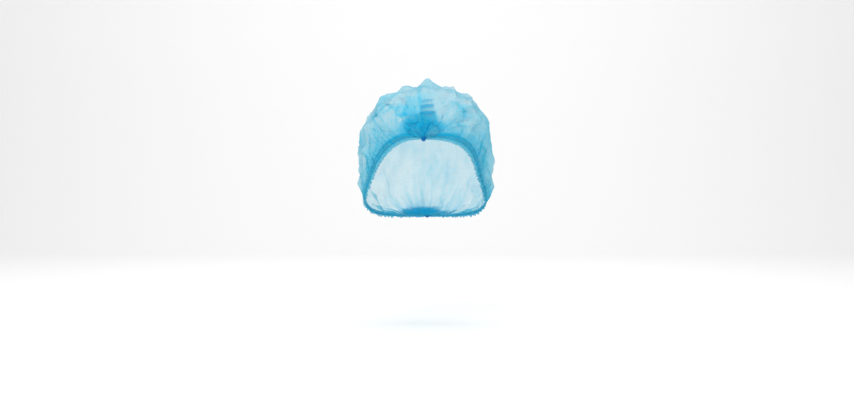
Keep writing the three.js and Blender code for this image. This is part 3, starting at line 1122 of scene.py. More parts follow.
@dataclass
class Crown:
    """The crown: one thin layer of web between the two bundles and the two seams, buckled into folds.

    Attributes:
        form: the form it lies on.
        steps_along: grid steps from bundle to bundle.
        steps_across: grid steps from seam to seam.
        first: share along the cap where it begins, just under the bundle's edge.
        large_facet: width of the wide facets of crumpled web, in millimetres.
        small_facet: width of the narrow ones.
        crumple: depth of the wide facets.
        fine_crumple: depth of the narrow ones.
        facet_level: how high on a facet the form runs, from its middle at 0 to its ridge at 1.
        crease: height of the creases left by the pleats.
        rise: how far it stands off the form where it leaves a bundle.
        spare: how much longer the web is than the form everywhere.
        seam_slack: rows of the further slack at a seam and how far it reaches.
        pole_slack: the same at a bundle.
        held: the farthest the web may stand from the form near its edges.
        loose: how much farther elsewhere.
        even: how closely the web lies where nothing bunches it.
        pole_reach: how far the bunching reaches from a bundle, in millimetres.
        seam_reach: how far it reaches from a seam.
        pleat_line: width of an old pleat's line, as the sine of half the pleats' phase.
        fade: how far from its end its edge has faded in over a bundle, in millimetres.
        corner_fade: the same beside a seam.
        doublings: where it lies doubled, or thin.
        loose_tucks: how many small tucks lie at random.
        tucks: the larger tucks, each in its place.
    """

    form: CapForm
    steps_along: int = 384
    steps_across: int = 248
    first: float = 0.032
    large_facet: float = 36.0
    small_facet: float = 15.0
    crumple: float = 8.0
    fine_crumple: float = 1.2
    facet_level: float = 0.9
    crease: float = 0.9
    rise: float = 1.0
    spare: float = 1.02
    seam_slack: tuple = ((0.40, 9), (0.12, 35))
    pole_slack: tuple = ((0.08, 28), (0.06, 60))
    held: float = 1.0
    loose: float = 2.2
    even: float = 0.13
    pole_reach: float = 19.0
    seam_reach: float = 12.0
    pleat_line: float = 0.16
    fade: float = 11.0
    corner_fade: float = 5.0
    doublings: tuple = (
        Doubling(0.140, -0.58, -0.34, 13, 10),
        Doubling(0.160, -0.36, -0.32, 10, 9),
        Doubling(0.182, -0.62, -0.10, 12, 12),
        Doubling(0.118, -0.78, -0.20, 10, 14),
        Doubling(0.148, -0.46, 0.12, 16, 5),
        Doubling(0.122, -0.60, 0.12, 6, 16),
        Doubling(0.166, -0.80, 0.12, 18, 9),
        Doubling(0.110, 0.27, -0.34, 20, 14),
        Doubling(0.088, 0.40, -0.28, 14, 14),
        Doubling(0.175, -0.08, -0.14, 14, 40),
        Doubling(0.088, -0.25, 0.30, 16, 11),
        Doubling(0.128, -0.20, 0.10, 10, 12),
        Doubling(0.062, -0.46, 0.34, 12, 12),
        Doubling(0.054, 0.42, 0.26, 8, 12),
        Doubling(0.050, 0.22, 0.22, 6, 5),
        Doubling(0.146, 0.61, 0.32, 17, 18),
        Doubling(0.195, 0.40, -0.22, 18, 22),
        Doubling(0.28, 0.0, -0.12, 36, 26),
        Doubling(0.168, 0.78, -0.16, 12, 10),
        Doubling(0.23, -0.80, 0.12, 34, 20),
        Doubling(0.30, -0.97, 0.2, 60, 20),
        Doubling(0.30, 0.97, 0.2, 60, 20),
        Doubling(0.36, 0.80, 0.32, 48, 34),
        Doubling(0.36, -0.85, 0.08, 44, 34),
    )
    loose_tucks: int = 46
    tucks: tuple = (
        Tuck((0.205, -0.62), (0.150, -0.42), 3.5, 1.1, 0.5, 0.38, -0.14),
        Tuck((0.212, -0.60), (0.185, -0.34), 4, 1.15, 0.4, 0.16),
        Tuck((0.216, -0.60), (0.212, -0.33), 5, 1.15, 0.5, 0.20, 0.05),
        Tuck((0.212, -0.62), (0.168, -0.82), 3.5, 1.15, 0.5, 0.30, -0.06),
        Tuck((0.216, -0.62), (0.190, -0.90), 4, 1.15, 0.4, 0.14),
        Tuck((0.218, -0.62), (0.225, -0.90), 5, 1.15, 0.5, 0.14),
        Tuck((0.195, -0.62), (0.126, -0.46), 3.5, 1.1, 0.5, 0.38, -0.12),
        Tuck((0.205, -0.62), (0.141, -0.70), 3.5, 1.1, 0.5, 0.30, -0.05),
        Tuck((0.066, -0.60), (0.132, -0.22), 6, 1.15, 0.6, 0.25, 0.05),
        Tuck((0.074, -0.40), (0.108, -0.25), 4, 1.1, 0.4, 0.18),
        Tuck((0.088, -0.66), (0.140, -0.34), 4, 1.15, 0.4, 0.14),
        Tuck((0.122, 0.27), (0.138, 0.70), 7, 1.15, 0.6, 0.26, 0.04),
        Tuck((0.150, 0.36), (0.158, 0.64), 5, 1.15, 0.5, 0.18),
        Tuck((0.102, 0.32), (0.128, 0.22), 4, 1.1, 0.4, 0.14),
        Tuck((0.285, 0.40), (0.185, 0.60), 6, 1.15, 0.5, 0.18, 0.05),
        Tuck((0.30, 0.62), (0.20, 0.82), 6, 1.15, 0.5, 0.16),
        Tuck((0.255, -0.06), (0.165, 0.05), 5, 1.15, 0.4, 0.12),
        Tuck((0.235, -0.24), (0.225, 0.06), 6, 1.15, 0.5, 0.12, 0.08),
        Tuck((0.057, 0.46), (0.078, 0.34), 4, 1.15, 0.6, 0.16),
        Tuck((0.31, -0.74), (0.24, -0.92), 6, 1.15, 0.5, 0.14),
        Tuck((0.30, 0.06), (0.26, 0.13), 4, 1.15, 0.8, 0.16),
        # The last two are light creases beside the front bundle: the web is thinned along each line, which paints a
        # highlight along the crease.
        Tuck((0.086, -0.64), (0.056, -0.22), 2.2, 0.2, -0.2, -0.35, 0.05),
        Tuck((0.056, 0.22), (0.075, 0.48), 2.2, 0.2, -0.2, -0.30, -0.10),
    )

    def build(self, web: Material) -> Piece:
        """The finished crown.

        Args:
            web: the web's material.

        Returns:
            The piece.
        """
        rng = np.random.default_rng(SEED)
        form = self.crumpled(rng)
        chart = self.chart(form)
        seed = self.first_folds(form, chart)
        free = ease(chart.from_seam, 0, 30) * ease(chart.from_pole, 0, 25) * self.off_stack(chart)
        cloth = SlackWeb(
            form=form,
            slack_along=self.spare + fading(chart.from_seam, self.seam_slack) * ease(chart.from_pole, 5, 55),
            slack_across=fading(chart.from_pole, self.pole_slack, self.spare),
            reach=self.held + self.loose * free,
            seed=seed,
        )
        points = cloth.settled()
        points, more = self.tucked(points, form, chart, rng)
        gather, cover = self.gathered(chart)
        piece = mesh_object("crown_web", points * MM, grid_faces(*chart.shape), web)
        dress(piece, self.flat(form), gather + more, cover)
        return piece

    def shares(self) -> tuple[Array, Array]:
        """Where the grid's rows and columns lie, with closer rows towards the front.

        Returns:
            Shares along, as a column, and across, as a row.
        """
        even = np.linspace(self.first, 1 - self.first, 2001)
        density = 1.0 + 0.9 * (1 - ease(even, 0.28, 0.45))
        run = np.concatenate([[0], np.cumsum((density[1:] + density[:-1]) / 2)])
        along = np.interp(np.linspace(0, run[-1], self.steps_along + 1), run, even)
        return along[:, None], np.linspace(-1, 1, self.steps_across + 1)[None, :]

    def chart(self, form: Array) -> Chart:
        """The chart of the grid's points, with distances summed over the form along rows and columns.

        Args:
            form: the form's points.

        Returns:
            The chart.
        """
        over = np.cumsum(np.linalg.norm(np.diff(form, axis=1, prepend=form[:, :1]), axis=-1), axis=1)
        down = np.cumsum(np.linalg.norm(np.diff(form, axis=0, prepend=form[:1]), axis=-1), axis=0)
        return Chart(*self.shares(), np.minimum(down, down[-1:] - down), np.minimum(over, over[:, -1:] - over))

    def flat(self, form: Array) -> Array:
        """The web's flat coordinates in metres: lengths run over the form along its middle and across it."""
        over, run = run_up(form[form.shape[0] // 2]), run_up(form[:, form.shape[1] // 2])
        return flat_map(over[None, :], run[:, None]) * 1.1

    def gathered(self, chart: Chart) -> tuple[Array, Array]:
        """How tightly the web is bunched: it falls off from the bundles and the seams, in streaks that follow
        the pleats and the gathers.

        Args:
            chart: where each point lies.

        Returns:
            The bunching, and the cover, which falls to 0 at the edge that lies over a bundle.
        """
        rng = np.random.default_rng(SEED + 1)
        shape, from_pole, from_seam = chart.shape, chart.from_pole, chart.from_seam
        flames = np.clip(smooth_noise(shape, (3, 40), rng) + 0.6 * smooth_noise(shape, (7, 90), rng), -1.2, 1.6)
        ruffs = np.clip(smooth_noise(shape, (90, 5), rng) + 0.6 * smooth_noise(shape, (200, 9), rng), -1.6, 1.6)
        near_pole = np.exp(-((from_pole * (1 + 0.5 * flames) / self.pole_reach) ** 1.3))
        near_seam = np.exp(-((from_seam * (1 + 0.3 * ruffs) / self.seam_reach) ** 1.2))
        near_seam = near_seam * (1 - 0.4 * ease(chart.from_end, 0.12, 0.26))
        lies = self.even + 0.11 * smooth_noise(shape, (14, 12), rng) + 0.06 * smooth_noise(shape, (30, 60), rng)
        for end in End:
            phase = self.form.pleat_phase(chart.along, chart.across, end)
            line = np.exp(-((np.sin(phase / 2) / self.pleat_line) ** 2))
            here = 1 - ease(np.abs(chart.along - end.value), 0.45, 0.6)
            lies = lies + 0.09 * line * here * ease(smooth_noise(shape, (18, 16), rng), -0.3, 0.6)
        patches = np.zeros(shape)
        for place in self.doublings:
            patches += place.more * np.exp(-self.form.apart(chart.along, chart.across, place))
        lies = lies + patches
        near_pole = near_pole * np.clip(1 + 1.6 * patches, 0.2, 1.1)
        beside = 1 - ease(from_seam, 0, 10)
        cover = ease(from_pole * (1 + 0.4 * flames), 0, self.fade - (self.fade - self.corner_fade) * beside)
        return 1 - (1 - 0.9 * near_pole) * (1 - 0.85 * near_seam) * (1 - np.clip(lies, 0, 1)), cover

    def off_stack(self, chart: Chart) -> Array:
        """0 under the stack of pleats above the front bundle, and 1 well away from it."""
        beside = chart.across * self.form.widths(chart.along, Side.LEFT) * 2
        return 1 - (1 - ease(np.abs(beside), 12, 22)) * (1 - ease(chart.along, 0.13, 0.17))

    def crumpled(self, rng: Random) -> Array:
        """The puffed form, dented into facets of crumpled web and creased along its old pleats.

        Args:
            rng: the source of what is random.

        Returns:
            Points in millimetres.
        """
        form = self.form.puffed(*self.shares())
        chart = self.chart(form)
        from_pole, from_seam = chart.from_pole, chart.from_seam
        large, small = (self.facets(chart, size, rng) for size in (self.large_facet, self.small_facet))
        depth = self.crumple * (large - self.facet_level) + self.fine_crumple * (small - self.facet_level)
        depth *= ease(from_seam, 0, 30) * ease(from_pole, 0, 45) * self.off_stack(chart)
        front, nape = (self.form.pleat_phase(chart.along, chart.across, end) for end in End)
        wave = front + (nape - front) * ease(chart.along, 0.42, 0.58)
        faint = ease(smooth_noise(chart.shape, (16, 14), rng), -0.4, 0.5)
        crease = 1 - 2 * np.abs(np.sin(wave / 2)) ** 0.8
        depth += crease * self.crease * faint * ease(from_seam, 0, 20) * ease(from_pole, 20, 60)
        depth += self.rise * ease(from_pole, 0, 5) * (1 - ease(from_pole, 8, 34)) * ease(from_seam, 0, 12)
        return form + depth[..., None] * grid_normals(form)

    def first_folds(self, form: Array, chart: Chart) -> Array:
        """The small folds that the buckling grows from: pleats from the bundles and gathers from the seams.

        Args:
            form: the form's points.
            chart: where each point lies.

        Returns:
            Moves from the form, in millimetres.
        """
        along, from_pole, from_seam = chart.along, chart.from_pole, chart.from_seam
        front, nape = (np.cos(self.form.pleat_phase(along, chart.across, end)) for end in End)
        pleats = np.where(along < 0.5, front, nape) * np.exp(-from_pole / 40) * ease(from_pole, 0, 8)
        gathers = np.where(chart.across < 0, *(np.sin(self.form.gather_phase(along, side)) for side in Side))
        gathers = gathers * np.exp(-from_seam / 14) * ease(from_seam, 0, 4) * ease(from_pole, 5, 40)
        height = 0.5 * pleats * ease(from_seam, 0, 6) + 1.2 * gathers
        return height[..., None] * grid_normals(form)

    def facets(self, chart: Chart, size: float, rng: Random) -> Array:
        """Facets of crumpled web, hollow in the middle with a sharp ridge round each.

        Random points are strewn over the flat web. A place whose nearest one is f away and whose second
        nearest is g away gets (2 f / (f + g))^2, which is 1 halfway between the two. The web is measured
        shorter along the cap than it is, which draws the facets out that way.

        Args:
            chart: where each point lies.
            size: width of a facet, in millimetres.
            rng: the source of the random points.

        Returns:
            The field, from 0 to 1.
        """
        rows, columns = chart.along[::2], chart.across[:, ::2]
        long, drawn_out = self.form.ridge_length, 1.35
        girth = HALF_GIRTH * np.ones_like(rows)
        here = np.stack(np.broadcast_arrays(columns * girth, rows * long / drawn_out), axis=-1).reshape(-1, 2)
        count = int(2 * HALF_GIRTH * long / drawn_out / size**2)
        strewn = rng.uniform((-HALF_GIRTH, 0), (HALF_GIRTH, long / drawn_out), (count, 2))
        square = (here**2).sum(1)[:, None] + (strewn**2).sum(1)[None, :] - 2 * here @ strewn.T
        near = np.sqrt(np.maximum(np.partition(square, 1, axis=1)[:, :2], 0))
        field = (2 * near[:, 0] / np.maximum(near.sum(1), 1e-6)) ** 2
        return finer(field.reshape(len(rows), columns.size))[: chart.shape[0], : chart.shape[1]]

    def tucked(self, points: Array, form: Array, chart: Chart, rng: Random) -> tuple[Array, Array]:
        """The web with its tucks folded in.

        On the flat web, a point s away from a tuck's line is drawn to s - over * s * exp(-(s / width)^2), which
        runs backwards near the line, and raised by -lift * s / width * exp(-(s / width)^2). Its new place is
        read from the settled web.

        Args:
            points: the settled web.
            form: the form's points.
            chart: where each point lies.
            rng: the source of the loose tucks.

        Returns:
            Points of the folded web, and how much more closely it lies in the tucks.
        """
        girth = np.linalg.norm(np.diff(form, axis=1), axis=-1).sum(1) / 2
        shares, long = chart.along[:, 0], self.form.ridge_length
        # s * exp(-(s / width)^2) peaks at 0.43 of the width, which this brings to about 1.
        peak = 2.4
        x = chart.across * girth[:, None]
        y = chart.along * long + 0 * chart.across
        moved_x, moved_y, height, more = (np.zeros_like(x) for _ in range(4))
        for tuck in self.tucks + self.strewn_tucks(girth, shares, rng):
            ends = np.array([tuck.start, tuck.finish], float)
            at = np.stack([ends[:, 1] * np.interp(ends[:, 0], shares, girth), ends[:, 0] * long], 1)
            way = at[1] - at[0]
            length = float(np.hypot(*way))
            way = way / length
            run = ((x - at[0, 0]) * way[0] + (y - at[0, 1]) * way[1]) / length
            off = -(x - at[0, 0]) * way[1] + (y - at[0, 1]) * way[0]
            off = off - tuck.bow * length * 4 * run * (1 - run)
            fade = ease(run, -0.25, 0.3) * ease(1 - run, -0.25, 0.3)
            bell = off * np.exp(-((off / tuck.width) ** 2)) * fade
            moved_x += tuck.over * bell * way[1]
            moved_y -= tuck.over * bell * way[0]
            height -= peak * tuck.lift * bell / tuck.width
            more += tuck.more * np.exp(-((off / (0.7 * tuck.width)) ** 2)) * fade
        held = ease(chart.from_seam, 2, 14) * ease(chart.from_pole, 1, 10)
        new_along = np.clip((y + moved_y * held) / long, shares[0], shares[-1])
        new_across = np.clip((x + moved_x * held) / np.interp(new_along, shares, girth), -1, 1)
        rows = np.interp(new_along, shares, np.arange(len(shares)))
        columns = (new_across + 1) / 2 * self.steps_across
        lifted = (height * held)[..., None] * sampled(grid_normals(points), rows, columns)
        return sampled(points, rows, columns) + lifted, more * held

    def strewn_tucks(self, girth: Array, shares: Array, rng: Random) -> tuple:
        """Small tucks at random places, most of them running along the cap, and none on top of another.

        Args:
            girth: length from the ridge to a seam at each row, in millimetres.
            shares: share along at each row.
            rng: the source of what is random.

        Returns:
            The tucks.
        """
        found = []
        for _ in range(self.loose_tucks):
            a, c = rng.uniform(0.1, 0.9), rng.uniform(-0.9, 0.9)
            turn = rng.normal(0, 0.5) if rng.random() < 0.7 else rng.uniform(-1.5, 1.5)
            length = rng.uniform(16, 46)
            wide = float(np.interp(a, shares, girth))
            finish = (a + length * np.cos(turn) / self.form.ridge_length, c + length * np.sin(turn) / wide)
            width, over = rng.uniform(4.0, 8.0), rng.uniform(0.6, 1.2)
            lift, more = rng.uniform(0.2, 0.5), rng.uniform(0.03, 0.14)
            tuck = Tuck((a, c), finish, width, over, lift, more, rng.uniform(-0.1, 0.1))
            if not any(abs(a - other.start[0]) < 0.08 and abs(c - other.start[1]) < 0.06 for other in found):
                found.append(tuck)
        return tuple(found)


@dataclass
class Hem:
    """The turned hem along one seam: a channel of web ruched over the elastic, with a frill beyond it and a
    flap that takes in the crown's edge.

    Attributes:
        form: the form it follows.
        side: which side of the cap.
        span: shares along where it starts and ends.
        step: distance between rings, in millimetres.
        outs: how far out of the crown each pair of columns lies.
        thickness: rows of a distance out and the hem's thickness there.
        bunching: rows of a distance out and how tightly the web is bunched there.
        frill: height of the frill's waves.
        dip: how far the flap lies under the crown's edge.
        pucker: height of the channel's slow waves.
        sway: how far the frill's waves move its edge in and out.
        lean: how far the gathers lean along the seam, in the channel and in the frill.
    """

    form: CapForm
    side: Side
    span: tuple = (0.012, 0.985)
    step: float = 0.36
    outs: tuple = (-4, -3, -2, -1.2, -0.5, 0.2, 0.8, 1.4, 2.1, 2.8, 3.4, 3.9, 4.4, 5, 5.8, 6.7, 7.7, 8.6)
    thickness: tuple = ((-4, 0.25), (-2, 0.8), (0, 1.3), (0.6, 1.9), (2.1, 2.7), (3.6, 1.9), (4.4, 0.7), (8.6, 0.25))
    bunching: tuple = ((-4, 0.3), (-2.5, 0.4), (0, 0.55), (0.6, 0.8), (3.8, 0.8), (4.6, 0.5), (8.6, 0.28))
    frill: float = 1.2
    dip: float = 1.3
    pucker: float = 0.25
    sway: float = 0.5
    lean: tuple = (0.35, 0.3)

    def build(self, web: Material) -> Piece:
        """The finished hem.

        Its middle surface waves by height * sin(phase of the gathers), and its thickness swells with the
        absolute value of the same sine, which puckers it twice in each gather. The web is drawn deeper in the
        valleys between the puckers and paler on their crests: painted shade and painted light.

        Args:
            web: the web's material.

        Returns:
            The piece.
        """
        length = self.form.seam_length(self.side)
        along = np.linspace(*self.span, int(length * (self.span[1] - self.span[0]) / self.step))
        seat, onward, out, up = self.form.seam_frame(along, self.side)
        phase = self.form.gather_phase(along, self.side)[:, None]
        o = np.array(self.outs, float)[None, :]
        channel = ease(o, -3, 0.5) * (1 - ease(o, 3.9, 4.9))
        beyond = ease(o, 4.2, 8.6)
        swell = np.abs(np.sin(phase)) ** 1.1
        thick = np.interp(o, *np.array(self.thickness, float).T) * (1 - 0.6 * channel * (1 - swell))
        uneven = 1 + 0.45 * np.sin(0.37 * phase + 2 * self.side.value)
        loose = (0.3 + 0.7 * ease(np.minimum(along, 1.2 - along), 0.1, 0.35))[:, None]
        wave = self.frill * beyond * uneven * loose * np.sin(phase + 0.35 * o) - self.dip * ease(-o, 0.3, 3)
        wave = wave + self.pucker * channel * np.sin(0.5 * phase + 1)
        away = o + self.sway * beyond * loose * np.sin(0.5 * phase + o)
        lean = (-self.lean[0] * channel - self.lean[1] * beyond * loose) * np.sin(2 * phase)
        middle = seat + out * away[..., None] + up * wave[..., None] + onward * lean[..., None]
        half = up * (thick / 2 * np.ones_like(phase))[..., None]
        bunched = np.interp(o, *np.array(self.bunching, float).T)
        # Painted shade: deeper blue in the valleys between the puckers, and painted light: paler on their crests.
        bunched = bunched + np.maximum((1.1 * channel + 0.1) * (0.5 - swell), -0.28)
        flat = flat_map(o * 2.0, (along * length * 1.7)[:, None])
        name = f"{self.side.name.lower()}_hem_web"
        return ring_web(name, middle + half, middle - half, web, flat, bunched, np.ones_like(bunched))


@dataclass
class Elastic:
    """The flat elastic in a hem's channel, finely ribbed across.

    Attributes:
        form: the form it follows.
        side: which side of the cap.
        span: shares along where it starts and ends.
        outs: how far out of the crown each pair of columns lies, in millimetres.
        thick: its thickness.
        rib: distance between two ribs.
        ribbing: share of its thickness that a rib rises and falls.
        rounded: how much thinner its edges are, on each face.
    """

    form: CapForm
    side: Side
    span: tuple = (0.034, 0.956)
    outs: tuple = (0.85, 1.0, 1.5, 2.1, 2.7, 3.2, 3.35)
    thick: float = 0.7
    rib: float = 1.3
    ribbing: float = 0.06
    rounded: float = 0.12

    def build(self, rubber: Material) -> Piece:
        """The finished elastic: a band whose thickness rises and falls with the cosine of the ribs' phase.

        Args:
            rubber: the rubber's material.

        Returns:
            The piece.
        """
        length = self.form.seam_length(self.side)
        along = np.linspace(*self.span, 4 * int(length / self.rib))
        seat, _, out, up = self.form.seam_frame(along, self.side)
        o = np.array(self.outs, float)[None, :]
        edge = np.minimum(o - o.min(), o.max() - o)
        rib = self.ribbing * np.cos(2 * np.pi * along * length / self.rib)[:, None]
        half = up * ((self.thick / 2 - self.rounded * (1 - ease(edge, 0, 0.2))) * (1 + rib))[..., None]
        middle = seat + out * o[..., None]
        return ring_piece(f"{self.side.name.lower()}_elastic_band", middle + half, middle - half, rubber)


@dataclass
class Bundle:
    """The bundle of pleats between a weld and the crown, which fans out as it opens.

    Attributes:
        form: the form it lies on.
        end: which end of the cap.
        span: shares from the weld where it starts and ends.
        root_thick: thickness in the weld, in millimetres.
        thick: thickness where it leaves the weld.
        open_thick: thickness where it meets the crown.
        root_pleat: height of a pleat in the weld.
        pleat: height of a pleat where the bundle has opened.
        sink: how far its edge dips under the crown.
        buckles: rows of a height and the cells, along and across, of the waves that buckle it.
        nose: how far its lowest pleats close over the weld.
        heavy: share across where its pleats lie closest.
        steps: rings along it, and columns across each face.
    """

    form: CapForm
    end: End
    span: tuple = (0.0015, 0.088)
    root_thick: float = 1.7
    thick: float = 3.2
    open_thick: float = 1.0
    root_pleat: float = 0.15
    pleat: float = 0.7
    sink: float = 0.5
    buckles: tuple = ((1.5, (3, 8)), (1.1, (8, 15)))
    nose: float = 2.6
    heavy: float = -0.25
    steps: tuple = (64, 340)

    def build(self, web: Material) -> Piece:
        """The finished bundle.

        On both faces a pleat rises by height * cos(phase) and leans sideways by width * sin(phase), so that
        each lies over the next.

        Args:
            web: the web's material.

        Returns:
            The piece.
        """
        form, shape = self.form, self.steps
        rng = np.random.default_rng(SEED + 5 + self.end.value)
        opened = np.linspace(0, 1, shape[0])[:, None]
        across = np.linspace(-0.99, 0.99, shape[1])[None, :]
        tongues = smooth_noise((2, shape[1]), (1, 2 * form.pleats), rng)[:1]
        reach = 1 + 0.2 * tongues * opened**2 * ease(1 - np.abs(across), 0, 0.2)
        share = self.span[0] + (self.span[1] - self.span[0]) * opened * reach
        along = share if self.end is End.FRONT else 1 - share
        place = form.smooth(along, across)
        onward, sideways, normal = form.slopes(along, across)
        place = place - self.end.inward * onward * (self.nose * (1 - ease(opened, 0, 0.12)))[..., None]
        phase = form.pleat_phase(along, across, self.end)
        phase = phase + 1.6 * opened * smooth_noise(shape, (3, 9), rng)
        uneven = 1 + 0.9 * smooth_noise(shape, (4, form.pleats), rng)
        streaks = smooth_noise(shape, (2, 3 * form.pleats), rng)
        girth = np.linalg.norm(np.diff(place, axis=1), axis=-1).sum(1)[:, None]
        height = self.root_pleat + (self.pleat - self.root_pleat) * ease(opened, 0, 0.35)
        height = height * uneven * (1 - 0.8 * ease(opened, 0.35, 0.7))
        lean = -0.08 * (girth / form.pleats) * np.sin(phase)
        sunk = -self.sink * ease(opened, 0.45, 0.8)
        rim = np.sqrt(1 - ease(np.abs(across), 0.86, 1.0) * 0.97)
        thick = self.root_thick + (self.thick - self.root_thick) * ease(opened, 0, 0.14)
        half = (thick + (self.open_thick - self.thick) * ease(opened, 0.1, 0.8)) / 2 * rim
        buckle = sum(height_mm * smooth_noise(shape, cells, rng) for height_mm, cells in self.buckles)
        buckle = buckle * ease(opened, 0, 0.5) * (1 - 0.9 * ease(opened, 0.4, 0.75)) * rim
        middle = place + sideways * lean[..., None]
        outer = middle + normal * (half + buckle + sunk + height * rim * (0.6 + np.cos(phase)))[..., None]
        inner = middle + normal * (-half + buckle + sunk + 0.5 * height * rim * np.cos(phase))[..., None]
        cloud = smooth_noise(shape, (5, 12), rng)
        depth = np.maximum(0.92 - 0.12 * opened - 0.5 * (across - self.heavy) ** 2, 0.5)
        depth = depth + 0.12 * streaks + 0.16 * cloud
        beside = ease(across, 0, 0.4) * ease(-across, -0.9, -0.6)
        late = opened * (1 + 0.16 * tongues + 0.2 * cloud + 0.25 * beside)
        cover = (1 - ease(late, 0.5, 1)) * (1 - ease(opened, 0.8, 0.98))
        flat = flat_map(across * HALF_GIRTH, along * form.ridge_length)
        return ring_web(f"{self.end.name.lower()}_bundle_pleats", outer, inner, web, flat, depth, cover)


@dataclass
class PleatStack:
    """The short pleats that stay closed above the front bundle, lying over each other like slats.

    Attributes:
        form: the form it lies on.
        span: shares along where it starts and ends.
        half_width: half its width, in millimetres.
        aside: how far it lies right of the ridge.
        slats: how many pleats lie over each other.
        slat: height of a pleat.
        lap: how far a pleat lies over the one below.
        slant: share of its length that the pleats climb from side to side.
        edge_lift: how high its edge lies over the form.
        lift: how much higher its middle lies.
        edge_half: half its thickness at the edge.
        half: how much more that is in the middle.
        steps: rings along it, and columns across each face.
    """

    form: CapForm
    span: tuple = (0.058, 0.130)
    half_width: float = 10.0
    aside: float = 2.2
    slats: float = 3.9
    slat: float = 0.25
    lap: float = 0.5
    slant: float = 0.13
    edge_lift: float = 1.0
    lift: float = 1.4
    edge_half: float = 0.08
    half: float = 0.17
    steps: tuple = (150, 56)

    def build(self, web: Material) -> Piece:
        """The finished stack.

        A point slides by -lap * sin(phase) along the cap and rises by height * (1 + sin(phase)), so that each
        slat's lower lip lies over the slat below. Under each lip, and more towards the left, the web is drawn
        deeper and denser: partly the layers lying over each other, partly painted shade beneath the lips.

        Args:
            web: the web's material.

        Returns:
            The piece.
        """
        run = np.linspace(0, 1, self.steps[0])[:, None]
        wide = np.linspace(-1, 1, self.steps[1])[None, :]
        phase = 2 * np.pi * self.slats * (run - self.slant * wide / 2) + 0.6 - 0.5 * wide**2 + 0.2 * np.sin(3 * wide)
        fade = ease(run, 0, 0.12) * ease(1 - run, 0, 0.22)
        length = (self.span[1] - self.span[0]) * self.form.ridge_length
        share = run - self.lap * fade * np.sin(phase) / length
        along = self.span[0] + (self.span[1] - self.span[0]) * share
        taper = 1.2 - 0.35 * run + 0.07 * np.sin(phase + 1.0) + 0.06 * np.sin(9 * run)
        across = (wide * self.half_width * taper + self.aside) / (2 * self.form.widths(along, Side.LEFT))
        place = self.form.puffed(along, across)
        normal = self.form.slopes(along, across)[2]
        flank = ease(1 - np.abs(wide), 0, 0.6)
        lift = self.edge_lift + (self.lift + self.slat * (1 + np.sin(phase))) * fade * flank
        half = self.edge_half + self.half * fade * flank
        outer, inner = (place + normal * (lift + face * half)[..., None] for face in (1, -1))
        # Bars of deeper, denser web under each slat's lip: partly layers lying over each other, partly painted shade
        # beneath the lips.
        overlap_and_shade = ease(-np.sin(phase + 0.4) - 0.3 * wide, -1.0, 1.2)
        edge = ease(1 - np.abs(wide) * (1 + 0.15 * np.sin(phase)), 0, 0.6)
        cover = (0.26 + 0.3 * overlap_and_shade) * (1 - ease(run, 0.4, 0.95)) * fade * edge
        flat = flat_map(wide * self.half_width, run * length * 2.6)
        return ring_web("front_stack_pleats", outer, inner, web, flat, 0.35 + 0.5 * overlap_and_shade, cover)


@dataclass
class Weld:
    """The fused end of a bundle's pleats: a small flattened tab with embossed bars.

    Attributes:
        form: the form whose ridge it ends.
        end: which end of the cap.
        drop: how far it starts past the ridge's end, in millimetres.
        top: its half width at the top.
        foot: its half width at the foot.
        root: how far it reaches into the bundle.
        length: how far it hangs.
        thick: its thickness.
        bars: how many bars are pressed into each face.
        pressed: how deep.
        lump: height of its lumps.
        bent: how far it bends off its middle plane.
        steps: rings along it, and columns across each face.
    """

    form: CapForm
    end: End
    drop: float
    top: float = 3.8
    foot: float = 2.6
    root: float = 3.0
    length: float = 4.2
    thick: float = 2.2
    bars: float = 4.4
    pressed: float = 0.2
    lump: float = 0.14
    bent: float = 0.35
    steps: tuple = (60, 40)

    def build(self, film: Material) -> Piece:
        """The finished weld.

        Its half width narrows from top to foot and rounds off by the square root of 1 - t^8, its half
        thickness follows the same round across, and bars are pressed into both faces.

        Args:
            film: the fused film's material.

        Returns:
            The piece.
        """
        ridge = np.array(self.form.ridge, float)
        inward = self.end.inward
        ends = curve_points(ridge, np.array([self.end.value, self.end.value + inward * 0.004]))
        pleats = unit(ends[1] - ends[0])
        face = self.form.slopes(np.array(self.end.value + inward * 0.012), np.array(0.0))[2]
        sideways = unit(np.cross(pleats, face))
        out = np.cross(sideways, pleats)
        run = np.linspace(0, 1, self.steps[0])[:, None]
        wide = np.sin(np.linspace(-np.pi / 2, np.pi / 2, self.steps[1]))[None, :]
        lumps = smooth_noise(self.steps, (7, 6), np.random.default_rng(SEED + 9 + self.end.value))
        round_end = np.sqrt(np.clip(1 - run**8, 0.003, 1)) * np.sqrt(np.clip(1 - (1 - run) ** 14, 0.003, 1))
        half_width = (self.top + (self.foot - self.top) * ease(run, 0.1, 0.9)) * round_end
        bars = self.pressed * ease(np.cos(2 * np.pi * (run * self.bars + 0.12 * wide)), 0.2, 0.9)
        half = (self.thick / 2 + self.lump * lumps - bars) * np.sqrt(np.clip(1 - wide**6, 0.01, 1)) * round_end
        middle = (
            ends[0]
            - pleats * (self.drop + run * self.length - self.root * (1 - run))[..., None]
            + sideways * (wide * half_width * (1 + 0.05 * lumps))[..., None]
            + out * (self.bent * np.sin(2.2 * wide + 3 * run))[..., None]
        )
        half = out * half[..., None]
        return ring_piece(f"{self.end.name.lower()}_weld_tab", middle + half, middle - half, film)


# ---- Studio and assembly ----


